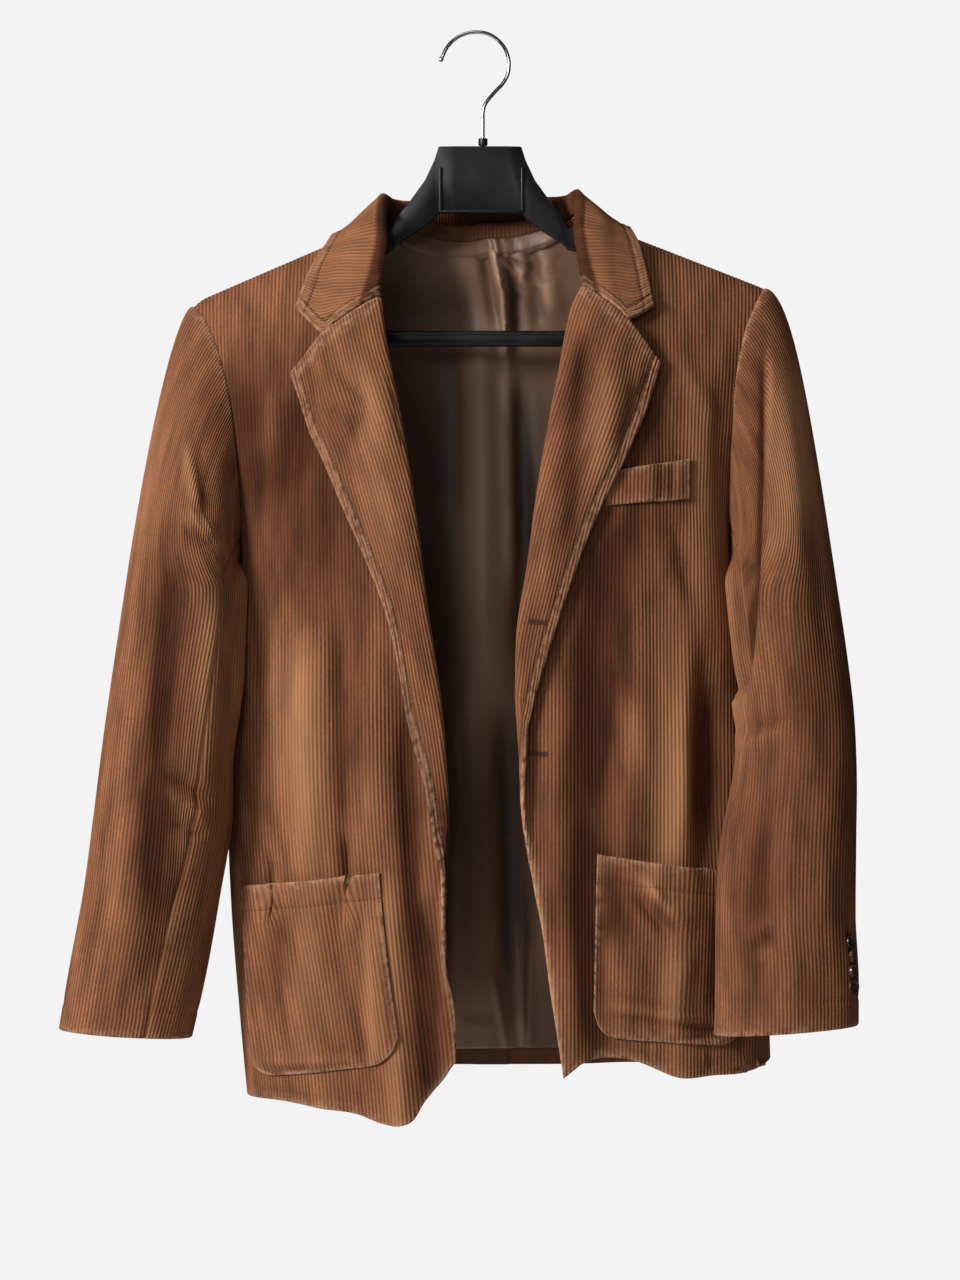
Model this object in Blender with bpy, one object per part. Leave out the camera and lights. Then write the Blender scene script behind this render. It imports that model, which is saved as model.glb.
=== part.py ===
"""Wide-wale corduroy jacket, hanging open on a plastic suit hanger.

Origin: the top of the hanger's hook.  +Z is up, -Y is the jacket's front and
+X is the wearer's left.  Sizes below are millimetres; the meshes are metres.
"""
import math

import bpy
import numpy as np

METRES = 0.001

# ---------------------------------------------------------------- driving sizes
CLOTH = 1.6            # thickness of the corduroy
LINING = 1.0           # thickness of the satin lining
SEAM = 0.3             # space between two pieces at a seam
LAID = CLOTH + SEAM    # a layer laid on another, middle to middle
LINED = (CLOTH + LINING) / 2 + SEAM
COLLAR_CLOTH = 3.0     # collar and under collar together

SQUARENESS = 2.6       # power of the body's rounded section
SHOULDER_SHARE = 0.30  # share of the length over which the shoulder rounds down
NOMINAL_LENGTH = 650.0
ROLL_RADIUS = 2.5      # middle of the shell where it turns at the lapel's roll
ROLL_SPARE = 2.7       # the flat panel ends this much before the turn itself
TURNED_STRIP = 4.0     # least width turned past the roll
ROLL_COLUMNS = 4
LAPEL_COLUMNS = 4

RIGHT, LEFT = -1, 1    # the wearer's sides, as signs of x
SIDE_NAMES = {RIGHT: "right", LEFT: "left"}


def table(columns, *rows):
    """A short table with named columns."""
    return {name: np.array(values, float) for name, values in zip(columns.split(), zip(*rows))}


# Shoulder line: its height where the neck ends, and its fall for each mm outwards.
NECK_HALF = 75.0
SHOULDER = {
    RIGHT: {"neck_height": -152.0, "fall": 0.434, "tip": 230.0},
    LEFT: {"neck_height": -147.5, "fall": 0.392, "tip": 234.0},
}
NECK_DIP = 40.0        # the back neck's drop below the shoulder line's peak
PEAK_ROUNDING = 22.0   # how softly both shoulder lines meet at the middle
TIP_REACH = 12.0       # the shoulder's end starts to bend down this far before its tip
TIP_BEND = 0.03

# Half width of the body's sections, from shoulder (0) to hem (1).
WIDTH = {
    RIGHT: table("share half", (0, 246), (.06, 229), (.14, 212), (.21, 201), (.27, 194),
                 (.337, 190), (.45, 199), (.6, 201), (.76, 198), (.9, 191), (1, 185)),
    LEFT: table("share half", (0, 248), (.06, 231), (.14, 215), (.21, 206), (.27, 201),
                (.337, 199), (.45, 210), (.6, 217), (.76, 223), (.9, 229), (1, 231)),
}
DEPTH = table("share front back", (0, 68, 50), (.3, 70, 52), (.6, 68, 55), (1, 74, 60))

# Armhole: distance from the middle, by share of the length.
ARMHOLE_END = 0.337
ARMHOLE = {
    RIGHT: table("share out", (0, 228), (.03, 218), (.06, 210), (.10, 203), (.14, 197.5),
                 (.20, 193), (.26, 190), (.31, 189), (.337, 190)),
    LEFT: table("share out", (0, 226), (.03, 218), (.06, 211), (.10, 205), (.14, 201),
                (.20, 198.5), (.26, 197), (.31, 197), (.337, 199)),
}

# Front hem: height by distance from the middle; the lower front corner is rounded.
FRONT_HEM = {
    RIGHT: table("out height", (10, -804), (16, -812), (26, -827), (37, -841), (44, -850),
                 (51, -862), (61, -867), (76, -866), (95, -859), (123, -855), (160, -850), (185, -850)),
    LEFT: table("out height", (55, -832), (66, -829), (80, -819), (94, -815), (110, -815), (124, -818),
                (138, -824), (152, -830), (184, -830), (215, -828), (231, -822)),
}
BACK_HEM = -834.0

# Lapel: roll line and outer edge by height, and the point where the turn ends.
LAPEL = {
    RIGHT: {
        "gorge": (77.0, -218.0), "notch": 0.62, "notch_rise": 8.0,
        "corner": (144.0, -227.0), "break": -700.0,
        "roll": table("height out", (-720, 25), (-700, 24), (-682, 22.6), (-630, 22.6), (-580, 25.7),
                      (-535, 29.6), (-471, 39), (-414, 46), (-368, 52.3), (-326, 58.9), (-291, 65.5),
                      (-252, 73), (-218, 77)),
        "edge": table("height out", (-700, 26.4), (-686, 29.6), (-662, 33), (-630, 37.4), (-599, 42.4),
                      (-564, 50.6), (-535, 58.4), (-471, 72), (-423, 89.5), (-388, 104.7), (-351, 120),
                      (-311, 137.4), (-276, 148)),
    },
    LEFT: {
        "gorge": (79.5, -213.0), "notch": 0.55, "notch_rise": 5.5,
        "corner": (135.5, -226.5), "break": -605.0,
        "roll": table("height out", (-625, 31), (-605, 30), (-566, 28), (-519, 27.3), (-472, 29.5),
                      (-440, 35), (-368, 44.8), (-311, 54.6), (-271, 62.4), (-248, 66.5), (-224, 73),
                      (-213, 79)),
        "edge": table("height out", (-605, 31.5), (-581, 33), (-535, 42.8), (-471, 61.2), (-414, 81),
                      (-379, 96.2), (-338, 116), (-303, 130.8), (-271, 140.2)),
    },
}
# Front edge below the turn.
FRONT_EDGE = {
    RIGHT: table("height out", (-830, 13), (-807, 13.2), (-777, 16), (-759, 21), (-723, 23.5), (-700, 24),
                 (-680, 24)),
    LEFT: table("height out", (-832, 63), (-807, 59.2), (-760, 53), (-714, 47.5), (-675, 40),
                (-651, 37.4), (-612, 31), (-590, 30)),
}
BREAK_BLEND = 70.0     # length over which the turned front unrolls
LIES_FROM = 0.55       # turned this far it starts to lie as a lapel,
LIES_FULLY = 0.95      # and this far it lies fully
FACING_COLUMNS = 3     # columns of the front that its facing covers
LINING_EASE = 2.5      # how much further in the lining hangs between its seams
LINING_HEM = 14.0      # the lining ends above the hem
PLEAT = 5.0            # depth of the lining's centre pleat
PLEAT_WIDTH = 40.0

# Each panel stops short of the shoulder seam by this share of its first row.
FRONT_STOP = 0.012
BACK_STOP = 0.02
LINING_STOP = 0.05

# Folds of the body's cloth: place of each end, half width, height (+ out), and
# the share of its length over which each end fades.
FOLD_COLUMNS = "side face x_top z_top x_low z_low width height fade"
FRONT, BACK = 1, -1
FOLDS = table(
    FOLD_COLUMNS,
    (LEFT, FRONT, 178, -470, 180, -700, 12, -11, .45),
    (LEFT, FRONT, 150, -480, 158, -830, 14, 5, .4),
    (LEFT, FRONT, 56, -500, 70, -832, 12, 4, .35),
    (LEFT, FRONT, 90, -560, 98, -832, 17, -5, .35),
    (LEFT, FRONT, 120, -260, 178, -420, 18, -3, .4),
    (RIGHT, FRONT, 165, -430, 160, -690, 13, -6, .45),
    (RIGHT, FRONT, 128, -470, 132, -850, 16, 4, .4),
    (RIGHT, FRONT, 88, -600, 84, -866, 12, -4, .35),
    (RIGHT, FRONT, 120, -270, 172, -400, 16, -4, .4),
    (RIGHT, BACK, 120, -300, 100, -834, 20, 5, .4),
    (RIGHT, BACK, 160, -420, 155, -834, 16, -6, .4),
    (LEFT, BACK, 95, -330, 112, -834, 20, 5, .4),
    (LEFT, BACK, 165, -420, 175, -834, 16, -6, .4),
)

# Sleeves: sections from the biceps to the cuff; outer and inner edge seen from
# the front, middle of the depth, half depth, and turn of the section (degrees).
CAP_SHARE = 0.32       # share of the sleeve's stations taken by the sleeve head
HEAD_FULLNESS = {RIGHT: 10.0, LEFT: 21.0}
SLEEVE_COLUMNS = "height outer inner middle half_depth turn"
SLEEVE = {
    RIGHT: table(
        SLEEVE_COLUMNS,
        (-446, 279.5, 192.5, -33, 48, 0), (-494, 285.5, 194.5, -44, 48, 2),
        (-566, 295, 196.5, -51, 46, 4), (-629, 302.5, 196, -53, 43, 6),
        (-689, 310.5, 206, -51, 40, 8), (-744, 320.5, 216, -50, 38, 8),
        (-797, 329.5, 228, -50, 36, 8)),
    LEFT: table(
        SLEEVE_COLUMNS,
        (-446, 281, 201.5, -37, 46, 0), (-497, 287, 205, -50, 46, 4),
        (-545, 291.5, 207, -60, 45, 8), (-591, 292.5, 200, -70, 42, 10),
        (-648, 291.5, 188.5, -77, 38, 8), (-708, 291.5, 184.5, -80, 34, 4),
        (-747, 293.5, 184, -84, 33, 2), (-791, 293.5, 183, -86, 32, 0)),
}
# Sleeve seams, degrees round from the outer edge towards the front, at the
# armhole and at the cuff.
SLEEVE_SEAMS = {
    RIGHT: {"front": (150.0, 110.0), "back": (300.0, 318.0)},
    LEFT: {"front": (150.0, 165.0), "back": (300.0, 366.0)},
}
SLEEVE_FOLDS = {
    RIGHT: table("share_top angle_top share_low angle_low width height",
                 (.30, 125, .46, 60, 10, -5), (.50, 118, .66, 70, 11, -5), (.46, 108, .60, 40, 10, 4),
                 (.62, 60, .90, 75, 12, 4), (.50, 230, .66, 300, 12, -5), (.34, 220, .50, 280, 12, -4)),
    LEFT: table("share_top angle_top share_low angle_low width height",
                (.10, 62, .58, 118, 8, -7), (.12, 90, .50, 140, 9, 4), (.52, 150, .68, 80, 11, -5),
                (.60, 70, .92, 60, 12, 4), (.50, 230, .66, 300, 12, -5), (.34, 220, .50, 280, 12, -4)),
}

# Collar sections over one side, from the middle of the back over the shoulder
# to the gorge: distance out and share of the length (+ front, - back) of the
# neck seam and of the outer edge, and the rise and lean of the stand.
COLLAR_COLUMNS = "place seam_out seam_share edge_out edge_share rise lean"
COLLAR = {
    RIGHT: table(
        COLLAR_COLUMNS,
        (0, 0, -.0002, 0, -.100, 34, 4), (1, 44, -.0002, 66, -.088, 32, 4),
        (2, 76.5, 0, 116, 0, 19, 2), (3, 78, .045, 134, .030, 9, 1),
        (4, 82, .0915, 144, .066, 4, 0)),
    LEFT: table(
        COLLAR_COLUMNS,
        (0, 0, -.0002, 0, -.100, 34, 4), (1, 44, -.0002, 66, -.088, 32, 4),
        (2, 76.5, 0, 118, 0, 20, 2), (3, 79, .045, 129, .034, 10, 1),
        (4, 84, .0915, 136, .083, 4, 0)),
}
CROWN = 4.0            # radius of the collar's fold
FALL_LIFT = 6.0        # the fall's middle above the body's
SEAM_LIFT = 3.4        # the neck seam's middle above the body's
STAND_INSET = 2.0      # the stand's middle inside the neck's edge
GORGE_GAP = 1.4        # the collar's middle above the lapel's upper edge

# Patch pockets on the fronts: the four corners, out and height, and the
# radius of the lower corners.
POCKET = {
    RIGHT: {"top": ((78, -670), (181, -681)), "low": ((64, -818), (174, -832)), "bulge": 5.0,
            "round": 20.0},
    LEFT: {"top": ((91, -655), (196, -672)), "low": ((88, -798), (205, -808)), "bulge": 5.0,
           "round": 20.0},
}
# Chest welt, on the wearer's left: its two upper and two lower corners.
WELT = ((100, -356), (165, -345), (98, -383), (164, -377))

# Cuff buttons: distance between them up the sleeve, and their size.
BUTTON_RADIUS = 5.6
BUTTON_HEIGHT = 2.8
BUTTON_TURN = {RIGHT: 0.30, LEFT: 0.42}   # radians from the sleeve's back seam
BUTTON_SHARES = (0.868, 0.891, 0.914, 0.937)

# Hanger.
PLATE_TOP = -92.8
HANGER_SPACE = 1.3     # the arm's top below the lining above it
HANGER = table(
    "out top bottom half_depth",
    (0, PLATE_TOP, -146.4, 4), (20, PLATE_TOP, -146.4, 4), (33, -93.0, -146.8, 4), (36.5, -104, -151, 4.5),
    (44, -120, -157.5, 5), (57, -138, -165.5, 5), (66, -148, -171, 4.5), (70.5, -159, -176, 4))
HANGER_ARM = table("out height half_depth", (78, 22, 4.5), (90, 23, 6), (120, 23, 10), (160, 22, 12),
                   (190, 19, 12), (203, 15, 9), (208, 8, 5))
BAR_HEIGHT = -247.0
BAR_RADII = (6.5, 4.5)  # up and down, and front to back
BAR_END = 199.0        # the bar's ends turn up to the arms here
BAR_BEND = 12.0
FERRULE = {"radius": 3.7, "top": -86.8}
WIRE_RADIUS = 1.5
HOOK_ROUTE = ((-31, -23.5), (-27, -15), (-21.5, -8.5), (-14, -3.8), (-5, -1.7), (5, -2.6), (13.5, -7.3),
              (19.8, -14.5), (23, -24), (22.6, -34), (18.5, -42.5), (11.5, -50), (5, -58), (2.6, -64.5),
              (2.4, -72), (2.4, FERRULE["top"] + SEAM))

COLOURS = {
    "corduroy": ((0.254, 0.102, 0.045), 0.85, 0.0),
    "lining": ((0.042, 0.022, 0.014), 0.35, 0.0),
    "hanger plastic": ((0.012, 0.012, 0.013), 0.35, 0.0),
    "steel": ((0.62, 0.62, 0.62), 0.2, 1.0),
    "horn button": ((0.035, 0.018, 0.012), 0.3, 0.0),
}


# ---------------------------------------------------------------- curves and rows
def curve(at, keys, values):
    """Smooth curve through a table's rows, read at the given keys."""
    keys = np.asarray(keys, float)
    values = np.asarray(values, float)
    at = np.clip(np.asarray(at, float), keys[0], keys[-1])
    slopes = np.gradient(values, keys)
    low = np.clip(np.searchsorted(keys, at, side="right") - 1, 0, len(keys) - 2)
    step = keys[low + 1] - keys[low]
    t = (at - keys[low]) / step
    rise = t * t * (3 - 2 * t)
    return (values[low] * (1 - rise) + values[low + 1] * rise
            + step * t * (1 - t) * ((1 - t) * slopes[low] - t * slopes[low + 1]))


def ease(t):
    """0 to 1 with flat ends."""
    t = np.clip(t, 0, 1)
    return t * t * (3 - 2 * t)


def row_share(row):
    """Share of the length reached at a row angle: round over the shoulder, then straight."""
    row = np.abs(row)
    return SHOULDER_SHARE * np.where(row < math.pi / 2, 1 - np.cos(row), 1 + row - math.pi / 2)


def row_angle(share):
    bent = np.arccos(np.clip(1 - np.asarray(share) / SHOULDER_SHARE, -1, 1))
    straight = math.pi / 2 + np.asarray(share) / SHOULDER_SHARE - 1
    return np.where(np.asarray(share) < SHOULDER_SHARE, np.minimum(bent, math.pi / 2), straight)


LAST_ROW = float(row_angle(1.0))


# ---------------------------------------------------------------- body surface
def shoulder_height(side, out):
    line = SHOULDER[side]
    rounded = np.sqrt(out ** 2 + PEAK_ROUNDING ** 2)
    tip = np.maximum(0, out - line["tip"] + TIP_REACH)
    return line["neck_height"] - line["fall"] * (rounded - NECK_HALF) - TIP_BEND * tip ** 2


def hem_height(side, out, front):
    hem = FRONT_HEM[side]
    ahead = curve(out, hem["out"], hem["height"])
    side_height = hem["height"][-1]
    reach = np.clip(out / WIDTH[side]["half"][-1], 0, 1)
    behind = side_height + (BACK_HEM - side_height) * (1 - reach ** 3)
    return np.where(front, ahead, behind)


def half_width(side, share):
    return curve(share, WIDTH[side]["share"], WIDTH[side]["half"])


def fold_height(side, x_out, height, front):
    total = np.zeros(np.broadcast(x_out, height).shape)
    for k in range(len(FOLDS["side"])):
        if FOLDS["side"][k] != side:
            continue
        x_top, z_top, x_low, z_low = (FOLDS[name][k] for name in ("x_top", "z_top", "x_low", "z_low"))
        along = (z_top - height) / (z_top - z_low)
        middle = x_top + (x_low - x_top) * along
        fade = FOLDS["fade"][k]
        window = ease(along / fade)
        if z_low > -800:
            window = window * ease((1 - along) / fade)
        bump = FOLDS["height"][k] * np.exp(-((x_out - middle) / FOLDS["width"][k]) ** 2)
        total = total + np.where(front == (FOLDS["face"][k] == FRONT), window * bump, 0)
    return total


def body_plain(side, around, row):
    """Body without folds: around is 0 at the side line, + to the front, - to the back."""
    around, row = np.broadcast_arrays(np.asarray(around, float), np.asarray(row, float))
    front = around >= 0
    share = row_share(row)
    out = half_width(side, share) * np.maximum(np.cos(around), 0) ** (2 / SQUARENESS)
    dip = np.where(front, 0, NECK_DIP / NOMINAL_LENGTH * np.clip(1 - (out / NECK_HALF) ** 2, 0, 1))
    share = share + dip * (1 - share)
    round_over = np.sin(np.minimum(row_angle(share), math.pi / 2))
    depth = np.where(front, -curve(share, DEPTH["share"], DEPTH["front"]),
                     curve(share, DEPTH["share"], DEPTH["back"]))
    top = shoulder_height(side, out)
    height = top + share * (hem_height(side, out, front) - top)
    y = depth * round_over * np.abs(np.sin(around)) ** (2 / SQUARENESS)
    return np.stack([side * out, y, height], -1)


def normals_of(surface, u, v, last, turned):
    """Unit normals of a surface by small steps in its two directions; v runs from 0 to last."""
    step = 1e-4
    du = surface(u + step, v) - surface(u - step, v)
    dv = surface(u, np.minimum(v + step, last)) - surface(u, np.maximum(v - step, 0))
    normal = np.cross(du, dv) * turned
    return normal / np.maximum(np.linalg.norm(normal, axis=-1, keepdims=True), 1e-12)


def plain_normal(side, around, row):
    around = np.where(np.abs(around) < 1e-3, 1e-3, around)     # the side line itself has a corner
    return normals_of(lambda a, r: body_plain(side, a, r), around, row, LAST_ROW, side)


def body(side, around, row):
    """Body with its folds."""
    base = body_plain(side, around, row)
    normal = plain_normal(side, around, row)
    out, height = np.abs(base[..., 0]), base[..., 2]
    return base + normal * fold_height(side, out, height, np.asarray(around) >= 0)[..., None]


def body_normal(side, around, row):
    return normals_of(lambda a, r: body(side, a, r), around, row, LAST_ROW, side)


def angle_at(side, out, share, front):
    ratio = np.clip(out / half_width(side, share), 0, 1)
    return np.arccos(ratio ** (SQUARENESS / 2)) * np.where(front, 1, -1)


def on_body(side, out, share, front, lift):
    """Point of the body at a distance out and a share of the length, lifted off it."""
    around = angle_at(side, out, share, front)
    row = row_angle(share)
    return body(side, around, row) + body_normal(side, around, row) * np.asarray(lift)[..., None]


def share_at(side, out, height):
    top = shoulder_height(side, out)
    return (top - height) / (top - hem_height(side, out, True))


# ---------------------------------------------------------------- cloth walls
def inset(points, edge, distance):
    """Draw one edge of a grid in by a distance. edge is first_row, last_row, first_column or last_column."""
    rows = edge.endswith("row")
    grid = points if rows else points.swapaxes(0, 1)
    here, near = (0, 1) if edge.startswith("first") else (-1, -2)
    move = grid[near] - grid[here]
    grid[here] += move / np.linalg.norm(move, axis=-1, keepdims=True) * distance
    return points


def grid_normals(points):
    across = np.gradient(points, axis=1)
    down = np.gradient(points, axis=0)
    normal = np.cross(across, down)
    return normal / np.maximum(np.linalg.norm(normal, axis=-1, keepdims=True), 1e-12)


def make_material(name):
    colour, roughness, metallic = COLOURS[name]
    material = bpy.data.materials.get(name) or bpy.data.materials.new(name)
    material.use_nodes = True
    shader = material.node_tree.nodes["Principled BSDF"]
    shader.inputs["Base Color"].default_value = (*colour, 1)
    shader.inputs["Roughness"].default_value = roughness
    shader.inputs["Metallic"].default_value = metallic
    material.diffuse_color = (*colour, 1)
    return material


def make_object(name, points, faces, material):
    mesh = bpy.data.meshes.new(name)
    mesh.from_pydata([tuple(p) for p in np.asarray(points) * METRES], [], faces)
    mesh.update()
    piece = bpy.data.objects.new(name, mesh)
    bpy.context.scene.collection.objects.link(piece)
    mesh.materials.append(make_material(material))
    mesh.shade_smooth()
    mesh.set_sharp_from_angle(angle=math.radians(50))
    return piece


def cloth(name, points, normals, thickness, material, present=None):
    """A closed wall: a grid's two faces and the rim round every open edge."""
    rows, columns = points.shape[:2]
    if present is None:
        present = np.ones((rows - 1, columns - 1), bool)
    outer = (points + normals * thickness / 2).reshape(-1, 3)
    inner = (points - normals * thickness / 2).reshape(-1, 3)
    count = rows * columns
    halves = []
    for i in range(rows - 1):
        for j in range(columns - 1):
            if present[i, j]:
                a = i * columns + j
                halves += [(a, a + columns, a + columns + 1), (a, a + columns + 1, a + 1)]
    edges = {(half[k], half[(k + 1) % 3]) for half in halves for k in range(3)}
    faces = halves + [tuple(v + count for v in reversed(half)) for half in halves]
    for a, b in sorted(edges):
        if (b, a) not in edges:
            faces.append((b, a, a + count, b + count))
    used = sorted({v for face in faces for v in face})
    place = {v: k for k, v in enumerate(used)}
    every = np.concatenate([outer, inner])
    piece = make_object(name, every[used], [tuple(place[v] for v in face) for face in faces], material)
    if signed_volume(piece.data) < 0:
        piece.data.flip_normals()
    return piece


def signed_volume(mesh):
    mesh.calc_loop_triangles()
    points = np.empty(len(mesh.vertices) * 3)
    mesh.vertices.foreach_get("co", points)
    points = points.reshape(-1, 3)
    corners = np.empty(len(mesh.loop_triangles) * 3, int)
    mesh.loop_triangles.foreach_get("vertices", corners)
    a, b, c = (points[corners.reshape(-1, 3)[:, k]] for k in range(3))
    return float(np.einsum("ij,ij->i", a, np.cross(b, c)).sum())


# ---------------------------------------------------------------- fronts and lapels
GORGE_SHARE = 0.0915   # share of the length where the collar ends and the lapel starts
GORGE_ROWS = 5
LOWER_ROWS = 16
PANEL_COLUMNS = 12


def body_rows():
    """Rows that every piece of the body shares, one of them at the gorge."""
    gorge = float(row_angle(GORGE_SHARE))
    return np.concatenate([np.linspace(0, gorge, GORGE_ROWS + 1)[:-1],
                           np.linspace(gorge, LAST_ROW, LOWER_ROWS + 1)])


def turn_at(side, height):
    """How far the front is turned back, from 1 above the break to 0 below it."""
    return np.clip((height - (LAPEL[side]["break"] - BREAK_BLEND)) / (2 * BREAK_BLEND), 0, 1)


def panel_inner(side, share):
    """Distance out and height of the inner end of each of the front panel's rows."""
    lapel = LAPEL[side]
    out = np.full(share.shape, 60.0)
    for _ in range(8):
        top = shoulder_height(side, out)
        height = top + share * (hem_height(side, out, True) - top)
        rolled = curve(height, lapel["roll"]["height"], lapel["roll"]["out"]) + ROLL_RADIUS + ROLL_SPARE
        edge = curve(height, FRONT_EDGE[side]["height"], FRONT_EDGE[side]["out"])
        flat = edge + math.pi * ROLL_RADIUS + TURNED_STRIP + LAID / 2
        turned = turn_at(side, height)
        below = rolled * turned + flat * (1 - turned)
        at_gorge = lapel["gorge"][0] + ROLL_RADIUS + ROLL_SPARE
        at_neck = NECK_HALF + 1
        neck = at_neck + (at_gorge - at_neck) * share / GORGE_SHARE
        out = np.where(share < GORGE_SHARE - 1e-9, neck, below)
    return out, height


def armhole_angle(side, share, front):
    out = curve(share, ARMHOLE[side]["share"], ARMHOLE[side]["out"])
    return angle_at(side, out, share, front)


def outer_angle(side, share, front):
    """Outer end of each row: the armhole, and below it the side seam."""
    return np.where(share < ARMHOLE_END, armhole_angle(side, share, front), 0.0)


def spread(side, row, start, end, count):
    """Angles round the body, evenly spaced along the cloth from start to end of each row."""
    fine = np.linspace(0, 1, 160)
    around = start[:, None] + (end - start)[:, None] * fine
    points = body_plain(side, around, np.repeat(row[:, None], len(fine), 1))
    length = np.concatenate([np.zeros((len(row), 1)),
                             np.cumsum(np.linalg.norm(np.diff(points, axis=1), axis=-1), 1)], 1)
    wanted = np.linspace(0, 1, count + 1)
    return np.stack([np.interp(wanted * length[k, -1], length[k], around[k]) for k in range(len(row))])


def lapel_surface(side, height, share_across):
    """Lapel of the turned front: from the roll (0) to the outer edge (1)."""
    lapel = LAPEL[side]
    gorge_height = lapel["gorge"][1]
    down = np.clip((gorge_height - height) / (gorge_height - lapel["break"]), 0, 1)
    roll = curve(height, lapel["roll"]["height"], lapel["roll"]["out"]) + ROLL_RADIUS + ROLL_SPARE
    tip_height = lapel["edge"]["height"][-1]
    edge_height = tip_height + (lapel["break"] - tip_height) * down
    edge = curve(edge_height, lapel["edge"]["height"], lapel["edge"]["out"])
    edge = np.maximum(edge, roll + TURNED_STRIP)
    out = roll + (edge - roll) * share_across
    notch = lapel["notch"]
    peak = np.where(share_across < notch, share_across / notch, (1 - share_across) / (1 - notch))
    place = height + (edge_height - height) * share_across
    place = place + lapel["notch_rise"] * peak * np.exp(-down / 0.06)
    wide = ease((edge - roll) / 60)
    lift = 2 * ROLL_RADIUS + wide * (5 * np.sin(math.pi * share_across ** 0.8) - 0.3 * share_across)
    return on_body(side, out, share_at(side, out, place), np.array(True), lift)


def lapel_columns(side):
    """Shares across the lapel, with one at the notch."""
    notch = LAPEL[side]["notch"]
    inner = np.linspace(0, notch, LAPEL_COLUMNS - 1)[1:]
    return np.concatenate([inner, np.linspace(notch, 1, 3)[1:]])


def front_grid(side):
    """Middle of the front: panel, roll and lapel, with normals and the cells that exist."""
    rows = body_rows()
    share = row_share(rows)
    inner_out, inner_height = panel_inner(side, share)
    start = outer_angle(side, share, True)
    end = angle_at(side, inner_out, share, True)
    around = spread(side, rows, start, end, PANEL_COLUMNS)
    grid_rows = np.repeat(rows[:, None], PANEL_COLUMNS + 1, 1)
    panel = body(side, around, grid_rows)
    panel_normals = plain_normal(side, around, grid_rows)

    last, up = panel[:, -1], panel_normals[:, -1]
    inward = panel[:, -1] - panel[:, -2]
    inward -= np.einsum("ij,ij->i", inward, up)[:, None] * up
    inward /= np.linalg.norm(inward, axis=-1, keepdims=True)
    turned = turn_at(side, inner_height)
    fold = np.maximum(turned * math.pi, 1e-3)
    radius = math.pi * ROLL_RADIUS / fold
    bends = []
    for k in range(1, ROLL_COLUMNS + 1):
        bend = fold * k / ROLL_COLUMNS
        bends.append(last + up * (radius * (1 - np.cos(bend)))[:, None]
                     + inward * (radius * np.sin(bend))[:, None])
    past = inward * np.cos(fold)[:, None] + up * np.sin(fold)[:, None]
    flaps = []
    for across in lapel_columns(side):
        lying = lapel_surface(side, inner_height, np.full(inner_height.shape, across))
        unrolling = bends[-1] + past * TURNED_STRIP * across
        weight = ease((turned - LIES_FROM) / (LIES_FULLY - LIES_FROM))[:, None]
        flaps.append(lying * weight + unrolling * (1 - weight))
    flap = np.stack(bends + flaps, 1)
    points = np.concatenate([panel, flap], 1)
    normals = grid_normals(points)
    if np.einsum("ijk,ijk->", normals[:, :3], panel_normals[:, :3]) < 0:
        normals = -normals
    own = grid_normals(panel)[:GORGE_ROWS]
    own *= np.sign(np.einsum("ijk,ijk->ij", own, panel_normals[:GORGE_ROWS]))[..., None]
    normals[:GORGE_ROWS, :PANEL_COLUMNS + 1] = own
    normals[0, :PANEL_COLUMNS + 1] = panel_normals[0]
    normals[:, 0] = panel_normals[:, 0]
    present = np.ones((points.shape[0] - 1, points.shape[1] - 1), bool)
    present[:GORGE_ROWS, PANEL_COLUMNS:] = False
    return points, normals, present


def make_front(side):
    points, normals, present = front_grid(side)
    shell = inset(points.copy(), "first_column", SEAM / 2)
    shell[0] = points[0] + (points[1] - points[0]) * FRONT_STOP
    cloth("front_" + SIDE_NAMES[side], shell, normals, CLOTH, "corduroy", present)

    first = PANEL_COLUMNS - FACING_COLUMNS
    facing = points[:, first:] - normals[:, first:] * LAID
    facing[0] += (facing[1] - facing[0]) * FRONT_STOP
    cloth("facing_" + SIDE_NAMES[side], facing, normals[:, first:], CLOTH, "corduroy", present[:, first:])

    inside, inside_normals = lining_grid(points[:, :first + 1], normals[:, :first + 1])
    inset(inside, "last_column", SEAM + 1.6)
    inset(inside, "first_column", SEAM)
    cloth("lining_front_" + SIDE_NAMES[side], inside, inside_normals, LINING, "lining")


def lining_grid(points, normals):
    """The shell's points moved in: close at the edges, looser between them."""
    down = np.linspace(0, 1, points.shape[0])[:, None]
    across = np.linspace(0, 1, points.shape[1])[None, :]
    loose = LINING_EASE * np.minimum(1, 6 * np.minimum(across, 1 - across)) * np.minimum(1, 0.7 + 8 * down)
    inside = points - normals * (LINED + loose)[..., None]
    inset(inside, "last_row", LINING_HEM)
    inside[0] += (inside[1] - inside[0]) * LINING_STOP
    return inside, normals


# ---------------------------------------------------------------- backs
SHOULDER_COLUMNS = 6   # from the armhole to the neck
NECK_COLUMNS = 4       # from there to the middle
BACK_COLUMNS = SHOULDER_COLUMNS + NECK_COLUMNS
VENT_TOP = -640.0


def back_grid(side):
    rows = body_rows()
    share = row_share(rows)
    start = outer_angle(side, share, False)
    neck = angle_at(side, NECK_HALF + 1, share, False)
    end = np.full(share.shape, -math.pi / 2 + 1e-3)
    around = np.concatenate([spread(side, rows, start, neck, SHOULDER_COLUMNS)[:, :-1],
                             spread(side, rows, neck, end, NECK_COLUMNS)], 1)
    grid_rows = np.repeat(rows[:, None], BACK_COLUMNS + 1, 1)
    points = body(side, around, grid_rows)
    exact = plain_normal(side, around, grid_rows)
    normals = grid_normals(points)
    if np.einsum("ijk,ijk->", normals, exact) < 0:
        normals = -normals
    normals[0] = exact[0]
    normals[:, 0] = exact[:, 0]
    return points, normals


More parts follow.
